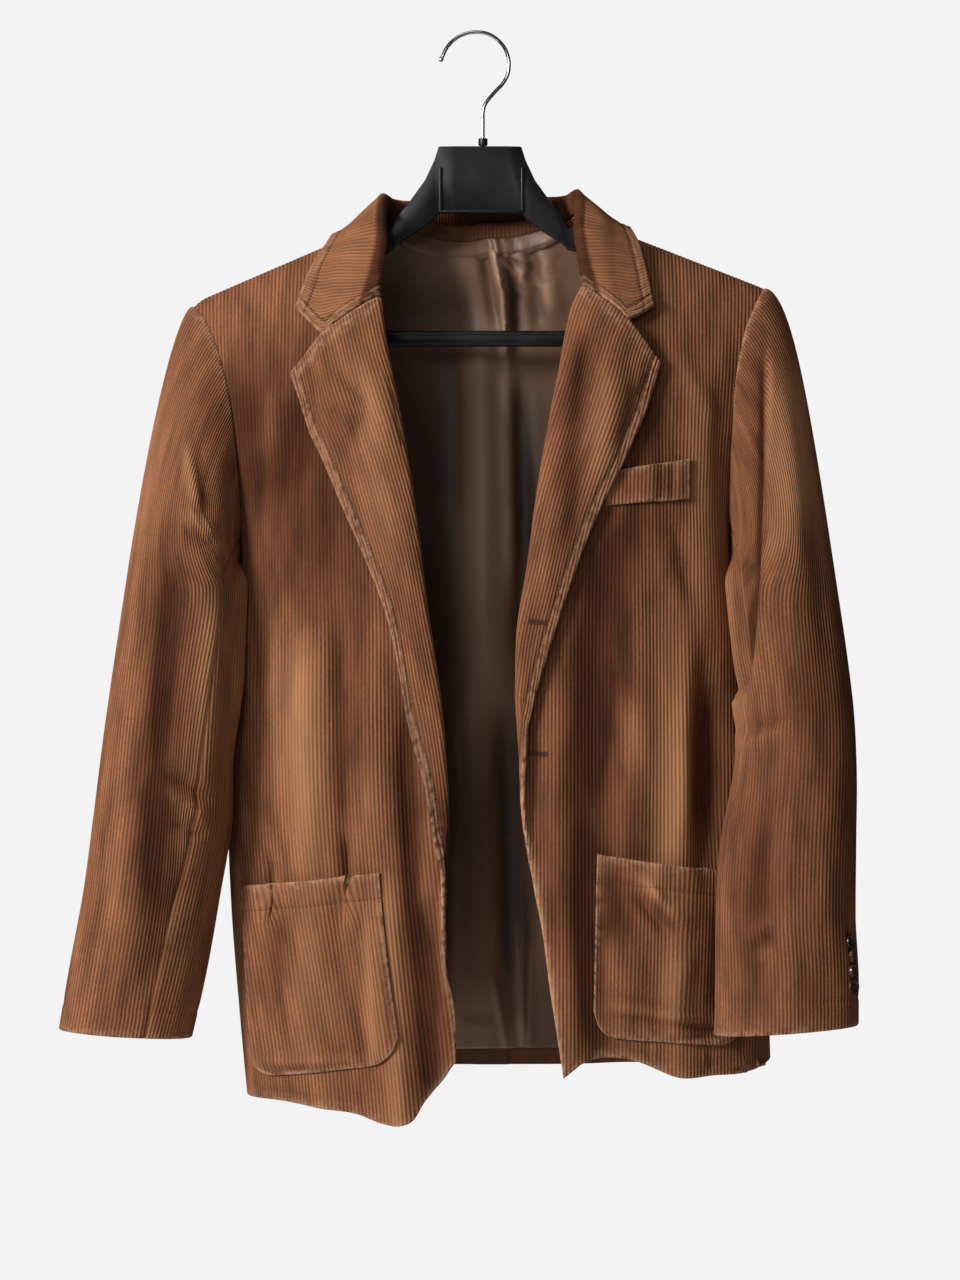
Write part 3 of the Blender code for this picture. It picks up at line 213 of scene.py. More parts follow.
# Sleeve seams, degrees round from the outer edge towards the front, at the
# armhole and at the cuff.
SLEEVE_SEAMS = {
    RIGHT: {"front": (150.0, 110.0), "back": (300.0, 318.0)},
    LEFT: {"front": (150.0, 165.0), "back": (300.0, 366.0)},
}
SLEEVE_FOLDS = {
    RIGHT: table("share_top angle_top share_low angle_low width height",
                 (.74, 112, .96, 100, 12, -4), (.62, 60, .90, 75, 12, 3), (.14, 184, .62, 180, 14, 8),
                 (.50, 230, .66, 300, 12, -5), (.34, 220, .50, 280, 12, -4)),
    LEFT: table("share_top angle_top share_low angle_low width height",
                (.82, 30, .93, 22, 5, -3), (.14, 184, .62, 186, 14, 8), (.60, 70, .92, 60, 12, 2),
                (.50, 230, .66, 300, 12, -5), (.34, 220, .50, 280, 12, -4)),
}
# Creases of the sleeves' front halves, by where they hang.
SLEEVE_CREASES = {
    RIGHT: table("out_top z_top out_low z_low width height",
                 (232, -330, 221, -392, 5, 3.0), (224, -330, 212, -392, 7, -2.5),
                 (234, -388, 208, -404, 4, 3.0),
                 (234, -400, 206, -415, 4, -2.5), (240, -410, 250, -640, 15, -6.0),
                 (206, -440, 212, -610, 11, 3.0),
                 (246, -590, 208, -614, 5, -3.5), (246, -602, 210, -628, 4, 3.0),
                 (240, -630, 214, -640, 4, -2.5), (262, -300, 280, -420, 14, 3.0)),
    LEFT: table("out_top z_top out_low z_low width height",
                (240, -260, 246, -460, 14, 3.0), (214, -300, 210, -420, 7, 2.0),
                (262, -330, 268, -600, 18, -3.0),
                (240, -545, 205, -560, 5, -3.0), (238, -556, 206, -572, 5, 2.5),
                (222, -600, 214, -780, 12, -3.0),
                (240, -600, 236, -790, 12, 2.5), (232, -700, 206, -716, 6, 2.5),
                (230, -712, 206, -728, 5, -2.0)),
}
# The fold down the front of the wearer's left sleeve: its path, how far it lies over the
# cloth inside it, and the cloth turned in under it.
TUCK = table("height out", (-620, 178), (-560, 196), (-531, 208), (-449, 218.5), (-394, 222),
             (-295, 226), (-236, 229))
TUCK_OVER, TUCK_UNDER = 4.0, 7.5
TUCK_OUT, TUCK_IN, TUCK_SHARP = 15.0, 9.0, 1.3     # widths of its swell, its hollow and its step
TUCK_HEIGHTS = (-615, 110, -240, 45)   # its lower and upper end, each with the length over which it fades
# Width of the cloth turned in under it and under the other sleeve's crease, and where that
# starts going down, with the length over which it grows; the crease's inside lies within 252.
TUCK_TURNED, TUCK_GATHERED = 26.0, (-250, 330)
CREASE_TURNED, CREASE_GATHERED, CREASE_INSIDE = 15.0, (-400, 260), (252, 40)

# Collar sections over one side, from the middle of the back over the shoulder
# to the gorge: distance out and share of the length (+ front, - back) of the
# neck seam and of the outer edge, and the rise and lean of the stand.
COLLAR_COLUMNS = "place seam_out seam_share edge_out edge_share rise lean"
COLLAR = {
    RIGHT: table(COLLAR_COLUMNS, (0, 0, -.0002, 0, -.100, 34, 4), (1, 44, -.0002, 66, -.088, 32, 4),
                 (2, 76.5, 0, 116, 0, 19, 2), (3, 78, .045, 134, .030, 9, 1), (4, 82, .0915, 144, .066, 4, 0)),
    LEFT: table(COLLAR_COLUMNS, (0, 0, -.0002, 0, -.100, 34, 4), (1, 44, -.0002, 66, -.088, 32, 4),
                (2, 76.5, 0, 118, 0, 17.5, 2), (3, 79, .045, 129, .034, 10, 1),
                (4, 84, .0915, 136, .083, 4, 0)),
}
CROWN = 4.0            # radius of the collar's fold
FALL_LIFT = 6.0        # the fall's middle above the body's
SEAM_LIFT = 3.4        # the neck seam's middle above the body's
STAND_INSET = 2.0      # the stand's middle inside the neck's edge

# Patch pockets on the fronts: the two upper and two lower corners, out and height.
POCKET = {
    RIGHT: ((78, -670), (187, -682), (64, -818), (180, -833)),
    LEFT: ((91, -655), (196, -672), (88, -798), (205, -808)),
}
POCKET_BULGE, POCKET_ROUND = 5.0, 20.0     # swell of the mouth, and radius of the lower corners
WELT = ((100, -356), (165, -345), (98, -383), (164, -377))   # on the wearer's left

# Cuff buttons: their size, and their places round and down the sleeve.
BUTTON_RADIUS = 5.6
BUTTON_HEIGHT = 2.8
HOLE_RING = 1.6        # its holes' distance from its middle
BUTTON_TURN = {RIGHT: 0.30, LEFT: 0.42}   # radians from the sleeve's back seam
BUTTON_SHARES = (0.868, 0.891, 0.914, 0.937)

# Hanger.
PLATE_TOP = -92.8
HANGER_SPACE = 1.3     # the arm's top below the lining above it
HANGER = table(
    "out top bottom half_depth",
    (0, PLATE_TOP, -146.4, 4), (20, PLATE_TOP, -146.4, 4), (33, -93.0, -146.8, 4), (36.5, -104, -151, 4.5),
    (44, -120, -157.5, 5), (57, -138, -165.5, 5), (66, -148, -171, 4.5), (70.5, -159, -176, 4))
HANGER_ARM = table("out height half_depth", (78, 22, 4.5), (90, 23, 6), (120, 23, 10), (160, 22, 12),
                   (190, 19, 12), (203, 15, 9), (208, 8, 5))
BAR_HEIGHT = -247.0
BAR_RADIUS, BAR_HALF_DEPTH = 6.5, 4.5
BAR_END, BAR_BEND = 199.0, 12.0    # its ends, and the radius of their bends
BAR_GAP = SEAM + 0.5   # its ends stop this far below the arms
FERRULE = {"radius": 3.7, "top": -86.8}
WIRE_RADIUS, BALL_RADIUS = 1.5, 2.1
HOOK_ROUTE = ((-31, -23.5), (-27, -15), (-21.5, -8.5), (-14, -3.8), (-5, -1.7), (5, -2.6), (13.5, -7.3),
              (19.8, -14.5), (23, -24), (22.6, -34), (18.5, -42.5), (11.5, -50), (5, -58), (2.6, -64.5),
              (2.4, -72), (2.4, FERRULE["top"] + SEAM))


# ---------------------------------------------------------------- curves and rows
def curve(at, keys, values):
    """Smooth curve through a table's rows, read at the given keys."""
    keys = np.asarray(keys, float)
    values = np.asarray(values, float)
    at = np.clip(np.asarray(at, float), keys[0], keys[-1])
    slopes = np.gradient(values, keys)
    low = np.clip(np.searchsorted(keys, at, side="right") - 1, 0, len(keys) - 2)
    step = keys[low + 1] - keys[low]
    t = (at - keys[low]) / step
    rise = t * t * (3 - 2 * t)
    return (values[low] * (1 - rise) + values[low + 1] * rise
            + step * t * (1 - t) * ((1 - t) * slopes[low] - t * slopes[low + 1]))


def ease(t):
    """0 to 1 with flat ends."""
    t = np.clip(t, 0, 1)
    return t * t * (3 - 2 * t)


def below(value, start, width):
    """0 above start, rising to 1 over a width below it."""
    return ease((start - value) / width)


def between(value, low, rise, high, fall):
    """0 up to low, then rising to 1 over a width, and falling over another to 0 at high."""
    return ease((value - low) / rise) * ease((high - value) / fall)


def read(rows, at, *names):
    """Smooth curves by a table's first column: of the columns named, or of all the others."""
    key, *others = rows
    order = np.argsort(rows[key])
    found = [curve(at, rows[key][order], rows[name][order]) for name in names or others]
    return found[0] if len(found) == 1 else found


def unit(vectors):
    return vectors / np.maximum(np.linalg.norm(vectors, axis=-1, keepdims=True), 1e-12)


def line_at(wanted, arc, values):
    """Numbers or points along a line, read at the distances wanted."""
    if values.ndim == 1:
        return np.interp(wanted, arc, values)
    return np.stack([np.interp(wanted, arc, column) for column in values.T], -1)


def rows_at(wanted, arc, grid):
    """Each row of a grid, read at the distances wanted along it."""
    return np.stack([line_at(*row) for row in zip(wanted, arc, grid)])


def groove(distance, middle, width):
    return np.exp(-((distance - middle) / width) ** 2)


def straight_fold(across, along, ends, width, height, fade, last_fade):
    """A soft fold between two ends, each a place across and along, with a fade at each end."""
    (across_top, along_top), (across_low, along_low) = ends
    share = (along_top - along) / (along_top - along_low)
    fold = height * groove(across, across_top + (across_low - across_top) * share, width)
    return fold * ease(share / fade) * (ease((1 - share) / last_fade) if last_fade else 1)


def row_share(row):
    """Share of the length reached at a row angle: round over the shoulder, then straight."""
    row = np.abs(row)
    return SHOULDER_SHARE * np.where(row < math.pi / 2, 1 - np.cos(row), 1 + row - math.pi / 2)


def row_angle(share):
    share = np.asarray(share)
    bent = np.arccos(np.clip(1 - share / SHOULDER_SHARE, -1, 1))
    straight = math.pi / 2 + share / SHOULDER_SHARE - 1
    return np.where(share < SHOULDER_SHARE, np.minimum(bent, math.pi / 2), straight)


LAST_ROW = float(row_angle(1.0))


# ---------------------------------------------------------------- body surface
def shoulder_height(side, out):
    line = SHOULDER[side]
    rounded = np.sqrt(out ** 2 + PEAK_ROUNDING ** 2)
    tip = np.maximum(0, out - line["tip"] + TIP_ROUNDING)
    return line["neck_height"] - line["fall"] * (rounded - NECK_HALF) - TIP_FALL * tip ** 2


def hem_height(side, out, front):
    side_height = FRONT_HEM[side]["height"][-1]
    reach = np.clip(out / WIDTH[side]["half"][-1], 0, 1)
    behind = side_height + (BACK_HEM - side_height) * (1 - reach ** 3)
    return np.where(front, read(FRONT_HEM[side], out), behind)


def fold_height(side, x_out, height, front):
    total = np.zeros(np.broadcast(x_out, height).shape)
    for side_of, face, x_top, z_top, x_low, z_low, width, lift, fade in zip(*FOLDS.values()):
        if side_of == side:
            fold = straight_fold(x_out, height, ((x_top, z_top), (x_low, z_low)), width, lift, fade,
                                 fade if z_low > LOWEST_FADE else None)
            total = total + np.where(front == (face == FRONT), fold, 0)
    return total


def body_plain(side, around, row):
    """Body without folds: around is 0 at the side line, + to the front, - to the back."""
    around, row = np.broadcast_arrays(np.asarray(around, float), np.asarray(row, float))
    front = around >= 0
    share = row_share(row)
    out = read(WIDTH[side], share) * np.maximum(np.cos(around), 0) ** (2 / SQUARENESS)
    dip = np.where(front, 0, NECK_DIP / NOMINAL_LENGTH * np.clip(1 - (out / NECK_HALF) ** 2, 0, 1))
    share = share + dip * (1 - share)
    round_over = np.sin(np.minimum(row_angle(share), math.pi / 2))
    depth = np.where(front, -read(DEPTH, share, "front"), read(DEPTH, share, "back"))
    top = shoulder_height(side, out)
    height = top + share * (hem_height(side, out, front) - top)
    y = depth * round_over * np.abs(np.sin(around)) ** (2 / SQUARENESS)
    return np.stack([side * out, y, height], -1)


def normals_of(surface, u, v, last, turned):
    """Unit normals of a surface by small steps in its two directions; v runs from 0 to last."""
    step = 1e-4
    du = surface(u + step, v) - surface(u - step, v)
    dv = surface(u, np.minimum(v + step, last)) - surface(u, np.maximum(v - step, 0))
    return unit(np.cross(du, dv) * turned)


def plain_normal(side, around, row):
    around = np.where(np.abs(around) < 1e-3, 1e-3, around)     # the side line itself has a corner
    return normals_of(lambda a, r: body_plain(side, a, r), around, row, LAST_ROW, side)


def body(side, around, row):
    """Body with its folds."""
    base = body_plain(side, around, row)
    lift = fold_height(side, np.abs(base[..., 0]), base[..., 2], np.asarray(around) >= 0)
    return base + plain_normal(side, around, row) * lift[..., None]


def angle_at(side, out, share, front):
    ratio = np.clip(out / read(WIDTH[side], share), 0, 1)
    return np.arccos(ratio ** (SQUARENESS / 2)) * np.where(front, 1, -1)


def on_body(side, out, share, front, lift, form=body):
    """Point of the body at a distance out and a share of the length, lifted off it."""
    around = angle_at(side, out, share, front)
    row = row_angle(share)
    normal = normals_of(lambda a, r: form(side, a, r), around, row, LAST_ROW, side)
    return form(side, around, row) + normal * np.asarray(lift)[..., None]


def share_at(side, out, height):
    top = shoulder_height(side, out)
    return (top - height) / (top - hem_height(side, out, True))

# ---------------------------------------------------------------- colours and materials
def linear(code):
    """Linear colour of an sRGB hex value."""
    parts = [int(code[k:k + 2], 16) / 255 for k in (1, 3, 5)]
    return (*[p / 12.92 if p <= 0.04045 else ((p + 0.055) / 1.055) ** 2.4 for p in parts], 1)


def feed(tree, node, inputs):
    """Sets a node's inputs; each is a value or another node's output."""
    for socket, value in inputs.items():
        if isinstance(value, bpy.types.NodeSocket):
            tree.links.new(value, node.inputs[socket])
        else:
            node.inputs[socket].default_value = value


def add(tree, kind, inputs=None, **settings):
    """Adds a node with its inputs and settings."""
    node = tree.nodes.new(kind)
    for name, value in settings.items():
        setattr(node, name, value)
    feed(tree, node, inputs or {})
    return node


def maths(tree, operation, *values, clamp=False):
    return add(tree, "ShaderNodeMath", dict(enumerate(values)), operation=operation, use_clamp=clamp).outputs[0]


def blend(tree, amount, base, other, kind="MIX"):
    return add(tree, "ShaderNodeMix", {0: amount, 6: base, 7: other}, data_type="RGBA",
               blend_type=kind).outputs[2]


def stretched(tree, place, across, along):
    return add(tree, "ShaderNodeMapping", {0: place, "Scale": (across, along, 1)}).outputs[0]


def noise(tree, place, scale, detail, **more):
    """Noise of one scale, or of a scale across and one along the cloth."""
    if isinstance(scale, tuple):
        place, scale = stretched(tree, place, *scale), 1.0
    return add(tree, "ShaderNodeTexNoise", {0: place, "Scale": scale, "Detail": detail, **more}).outputs[0]


def bumped(tree, height, strength, distance):
    return add(tree, "ShaderNodeBump", {
        "Height": height, "Strength": strength, "Distance": distance}).outputs[0]


def ramp(tree, amount, *stops):
    """Colour ramp: each stop is a place and an sRGB hex value."""
    node = add(tree, "ShaderNodeValToRGB", {0: amount})
    marks = node.color_ramp.elements
    while len(marks) < len(stops):
        marks.new(0.5)
    for mark, (place, colour) in zip(marks, stops):
        mark.position = place
        mark.color = linear(colour)
    return node.outputs[0]


def shader_of(name):
    material = bpy.data.materials.new(name)
    material.use_nodes = True
    return material, material.node_tree, material.node_tree.nodes["Principled BSDF"]


def cloth_places(tree):
    """The cloth's own map: across its wales, and down them."""
    return add(tree, "ShaderNodeUVMap", uv_map="cloth").outputs[0]


def point_value(tree, name):
    return add(tree, "ShaderNodeAttribute", attribute_name=name).outputs["Fac"]


def object_places(tree):
    return add(tree, "ShaderNodeTexCoord").outputs["Object"]


WALE = 2.95            # from one rib of the corduroy to the next
# From groove to crest of a rib: the grooves' dark is partly the ground between the ribs and partly painted
# shade, and the crests' light is painted light.
GROOVE, FLANK, PILE, CREST, RUBBED = "#5c3522", "#7c4c31", "#945f41", "#ab7450", "#cfa484"
FLAT_NAP = "#875539"   # ribs pressed flat
PAINTED_SHADE_TINT, PAINTED_LIGHT_TINT = "#96847a", "#c28c62"   # painted shade and painted light tints of the pile


def corduroy_pile():
    """Cotton corduroy, cut pile in wide ribs: soft matt ribs with grooves darkened partly as painted shade,
    streaks where the pile lies differently, painted light and shade on folds and patches, rubbed edges."""
    material, tree, shader = shader_of("cotton corduroy cut pile")
    cloth = cloth_places(tree)
    across = add(tree, "ShaderNodeSeparateXYZ", {0: cloth}).outputs[0]
    half = maths(tree, "PINGPONG", maths(tree, "MULTIPLY", across, 1000 / WALE), 0.5)
    rib = maths(tree, "MULTIPLY", half, 2.0)
    # Tufts 0.7 mm across and 3 mm long along the rib; drawn coarser than real pile so that they show.
    tufts = noise(tree, cloth, (1500, 330), 3.0)
    # The nap lies in streaks some 12 mm wide and 60 mm long.
    lightness = noise(tree, cloth, (80, 16), 3.0)
    height = maths(tree, "ADD", rib, maths(tree, "MULTIPLY_ADD", tufts, 1.1, -0.55))
    # Darker grooves partly as painted shade, lighter crests as painted light.
    ribbed = ramp(tree, height, (0.0, GROOVE), (0.26, FLANK), (0.58, PILE), (1.0, CREST))
    # The ribs are pressed flatter in places some 18 mm across and 33 mm long.
    press = noise(tree, cloth, (55, 30), 4.0, Roughness=0.65)
    patch = ramp(tree, press, (0.36, "#0e0e0e"), (0.66, "#bcbcbc"))
    # Painted shade in the troughs of the folds and painted light along their crests, and patches of painted
    # light and shade.
    painted_shading = point_value(tree, "lightness")
    away = maths(tree, "MULTIPLY", painted_shading, -1.0, clamp=True)
    painted_light_share = maths(tree, "MULTIPLY", painted_shading, 0.55, clamp=True)
    # Where painted shade falls the ribs are also drawn flatter, as in the pressed places.
    pressed_and_shaded = maths(tree, "MULTIPLY_ADD", away, 0.45, patch, clamp=True)
    pile = blend(tree, pressed_and_shaded, ribbed, linear(FLAT_NAP))
    streaked = ramp(tree, lightness, (0.32, "#6e6e6e"), (0.66, "#ffffff"))
    patchy = blend(tree, 0.55, pile, streaked, "MULTIPLY")
    # Painted shade and painted light tint the pile.
    darker = blend(tree, away, patchy, linear(PAINTED_SHADE_TINT), "MULTIPLY")
    colour = blend(tree, painted_light_share, darker, linear(PAINTED_LIGHT_TINT))
    # Painted shade of short puckers some 8 mm apart: darker marks across the rubbed edges.
    marks = ramp(tree, noise(tree, cloth, (120, 150), 2.0), (0.40, "#6a6a6a"), (0.56, "#ffffff"))
    tufted = maths(tree, "MULTIPLY", point_value(tree, "wear"), tufts)
    worn = blend(tree, maths(tree, "MULTIPLY", tufted, marks), colour, linear(RUBBED))
    feed(tree, shader, {
        "Base Color": worn, "Normal": bumped(tree, maths(tree, "ADD", tufts, rib), 0.5, 0.0005),
        "Roughness": 0.92, "IOR": 1.45, "Specular IOR Level": 0.2,
        "Sheen Weight": 0.1, "Sheen Roughness": 0.45, "Sheen Tint": linear("#d9a77c")})
    return material


def corduroy_ground():
    """Plain woven back of the corduroy: flat, dry cotton threads, darker than the pile."""
    material, tree, shader = shader_of("cotton corduroy woven back")
    # Threads 0.5 mm apart, drawn 1.2 mm apart so that they show.
    weave = stretched(tree, cloth_places(tree), 830, 830)
    threads = add(tree, "ShaderNodeTexChecker", {0: weave, "Scale": 1.0}).outputs[1]
    mixed = maths(tree, "MULTIPLY_ADD", threads, 0.25, noise(tree, weave, 0.06, 2.0))
    feed(tree, shader, {
        "Base Color": ramp(tree, mixed, (0.25, "#462919"), (0.85, "#6e4730")),
        "Normal": bumped(tree, threads, 0.4, 0.0003), "Roughness": 0.9, "Specular IOR Level": 0.2})
    return material


def satin_lining():
    """Viscose satin, woven and pressed: smooth, with broad soft highlights and painted sheen along its folds,
    and painted shade in its hollows.
    """
    material, tree, shader = shader_of("viscose satin lining")
    cloth = cloth_places(tree)
    # Warp threads 0.25 mm apart, drawn 0.9 mm apart so that they show.
    warp = noise(tree, cloth, (1100, 60), 2.0)
    slub = noise(tree, cloth, (25, 9), 3.0)
    mixed = maths(tree, "MULTIPLY_ADD", warp, 0.35, slub)
    woven = ramp(tree, mixed, (0.35, "#4f3527"), (1.0, "#77563d"))
    # Painted sheen lightens the lining's ridges and painted shade darkens its hollows.
    painted_sheen_and_shade = point_value(tree, "lightness")
    darker = blend(tree, maths(tree, "MULTIPLY", painted_sheen_and_shade, -0.8, clamp=True), woven, linear("#2b1a12"))
    lighter = blend(tree, maths(tree, "MULTIPLY", painted_sheen_and_shade, 0.7, clamp=True), darker, linear("#a5826b"))
    feed(tree, shader, {
        "Base Color": lighter, "Roughness": ramp(tree, slub, (0.3, "#b8b8b8"), (0.7, "#c8c8c8")),
        "Normal": bumped(tree, mixed, 0.12, 0.0004), "IOR": 1.5})
    return material


def sewing_thread(name, colour):
    """Spun polyester thread: fine, matt, with a twist."""
    material, tree, shader = shader_of(name)
    # The twist's grooves are painted dark, as shade.
    twist = add(tree, "ShaderNodeTexWave", {
        0: object_places(tree), "Scale": 700.0, "Distortion": 1.0}).outputs[1]
    feed(tree, shader, {"Base Color": ramp(tree, twist, (0.0, "#2c170d"), (1.0, colour)), "Roughness": 0.7})
    return material


def moulded_plastic():
    """Injection moulded polystyrene with a fine satin texture: black, soft-edged highlights."""
    material, tree, shader = shader_of("black moulded polystyrene")
    place = object_places(tree)
    # The mould's texture has grains 0.8 mm across; handling marks are some 30 mm across.
    grain, marks = noise(tree, place, 1300.0, 2.0), noise(tree, place, 35.0, 4.0)
    feed(tree, shader, {
        "Base Color": ramp(tree, marks, (0.3, "#0e0e0f"), (0.75, "#17181a")),
        "Roughness": ramp(tree, marks, (0.3, "#9a9a9a"), (0.7, "#b4b4b4")),
        "Normal": bumped(tree, grain, 0.15, 0.0003), "IOR": 1.55, "Specular IOR Level": 0.3})
    return material


def plated_steel():
    """Steel wire, drawn and chrome plated: bright, with faint marks drawn along the wire."""
    material, tree, shader = shader_of("chrome plated steel wire")
    marks = noise(tree, object_places(tree), 260.0, 3.0)
    feed(tree, shader, {
        "Base Color": ramp(tree, marks, (0.3, "#b9bbbd"), (0.7, "#d6d7d8")),
        "Roughness": ramp(tree, marks, (0.3, "#4e4e4e"), (0.8, "#767676")), "Metallic": 1.0})
    return material


def horn_button():
    """Buttons of polished dark horn resin: mottled brown with a soft gloss."""
    material, tree, shader = shader_of("polished dark horn resin")
    # Mottling some 3 mm across.
    swirl = noise(tree, object_places(tree), 330.0, 4.0, Distortion=1.5)
    feed(tree, shader, {"Base Color": ramp(tree, swirl, (0.35, "#22120b"), (0.7, "#5b3822")),
                        "Roughness": 0.28, "IOR": 1.54})
    return material


PILE_FACE = corduroy_pile()
WOVEN_BACK = corduroy_ground()
SATIN = satin_lining()
BROWN_THREAD = sewing_thread("brown polyester thread", "#8a5637")
DARK_THREAD = sewing_thread("dark buttonhole thread", "#613a26")
PLASTIC = moulded_plastic()
STEEL = plated_steel()
HORN = horn_button()


# ---------------------------------------------------------------- cloth walls
RIB = (-0.26, 0.04, 0.19, 0.04)     # the pile's height across a wale, from groove to groove
STEP = WALE / len(RIB)
MERGED = 6             # columns of the pile side to one of the plain side
SEWN, FOLDED, FREE = (1.0, 0.0), (0.0, 1.0), (0.0, 0.0)
ALL_FOLDED = dict(low=FOLDED, high=FOLDED, top=FOLDED, bottom=FOLDED)
SEAM_DIP, SEAM_REACH = 1.1, 2.2
FOLD_REACH = 1.8       # the edge of folded cloth is rounded over this width
EDGE_WEAR, WEAR_REACH = 0.95, 2.6  # how rubbed a folded edge is, and over what width
CLOSED_REACH = 4.0     # width over which two layers close at a folded edge
PILE_RISE = 2.0        # width over which the ribs rise from a panel's sides
EDGE_BEAD = 4.2        # width of the rounded bead along a stitched edge
BEAD_HEIGHT, BAND_PUFF = 0.5, 0.35         # rise of the bead, and of the band inside it
BEAD_CREASE, BEAD_CREASE_WIDTH = 0.35, 0.9 # the dip between them
STITCH_DIP, STITCH_WIDTH = 0.9, 1.2        # groove of an edge's stitches
LINE_DIP, LINE_WIDTH = 0.7, 1.4            # groove of a line of stitches across a piece
BAND_WEAR, BAND_WEAR_WIDTH = 0.55, 2.2     # how rubbed the band beside the stitches is


def grid_normals(points):
    return unit(np.cross(np.gradient(points, axis=1), np.gradient(points, axis=0)))


def row_arcs(points, level=False):
    """Distance along each row; level counts only what goes sideways."""
    step = np.diff(points, axis=1)[..., :2 if level else 3]
    return np.concatenate([np.zeros((len(points), 1)), np.cumsum(np.linalg.norm(step, axis=-1), 1)], 1)


def down_arc(points):
    """Distance down the grid to each row, by the middle one of the steps between two rows."""
    step = np.linalg.norm(np.diff(points, axis=0), axis=-1)
    return np.concatenate([[0.0], np.cumsum(np.median(step, axis=1))])


def crossing(values, arc, wanted):
    """Distance along each row at which its values reach those wanted."""
    orders = np.argsort(values, axis=1)
    return np.array([np.interp(goal, row[order], places[order])
                     for goal, row, places, order in zip(wanted, values, arc, orders)])


def stitched_edge(distance, stitched):
    """Height of a turned edge: a bead, a puffed band and the groove of its stitches."""
    band = np.clip((distance - EDGE_BEAD) / (stitched - EDGE_BEAD), 0, 1)
    bead = BEAD_HEIGHT * np.sin(math.pi * np.clip(distance / EDGE_BEAD, 0, 1))
    bead = bead - BEAD_CREASE * groove(distance, EDGE_BEAD + 0.3, BEAD_CREASE_WIDTH)
    return bead + BAND_PUFF * np.sin(math.pi * band) - STITCH_DIP * groove(distance, stitched, STITCH_WIDTH)


def sewn_line(points, distance, middle):
    """The dip of a line of stitches right across a grid of points."""
    return -LINE_DIP * groove(distance, middle, LINE_WIDTH) * np.ones(points.shape[:2])


def polygon(*corners):
    """A face without repeated corners, in a list; an empty list where fewer than three are left."""
    corners = tuple(dict.fromkeys(int(corner) for corner in corners))
    return [corners] if len(corners) > 2 else []


def edge_looks(edges, distances, stitched, lightness):
    """Heights, wear and lightness near the edges: sewn ones dip; folded ones are round and rubbed,
    with painted shade along their stitches.
    """
    dip, soft, wear, inward, rounded = 0.0, 0.0, 0.0, 0.0, 1.0
    for edge, distance in distances.items():
        sewn, folded = (np.broadcast_to(np.asarray(w, float).reshape(-1, 1), (len(distance), 1))
                        for w in edges[edge])
        dip = np.maximum(dip, sewn * SEAM_DIP * groove(distance, 0, SEAM_REACH))
        near = np.clip(distance / FOLD_REACH, 0, 1)
        rounded = np.minimum(rounded, 1 - folded * (1 - np.sqrt(1 - (1 - near) ** 2)))
        wear = np.maximum(wear, folded * EDGE_WEAR * np.exp(-distance / WEAR_REACH))
        inward = np.maximum(inward, folded * np.exp(-distance / CLOSED_REACH))
        if stitched:
            soft = soft + folded * stitched_edge(distance, stitched)
            wear = np.maximum(wear, BAND_WEAR * folded * groove(distance, stitched - 2.4, BAND_WEAR_WIDTH))
            # Painted shade along the groove of the stitches.
            lightness = lightness - 0.5 * folded * groove(distance, stitched, LINE_WIDTH)
    return dip, soft, wear, inward, rounded, lightness


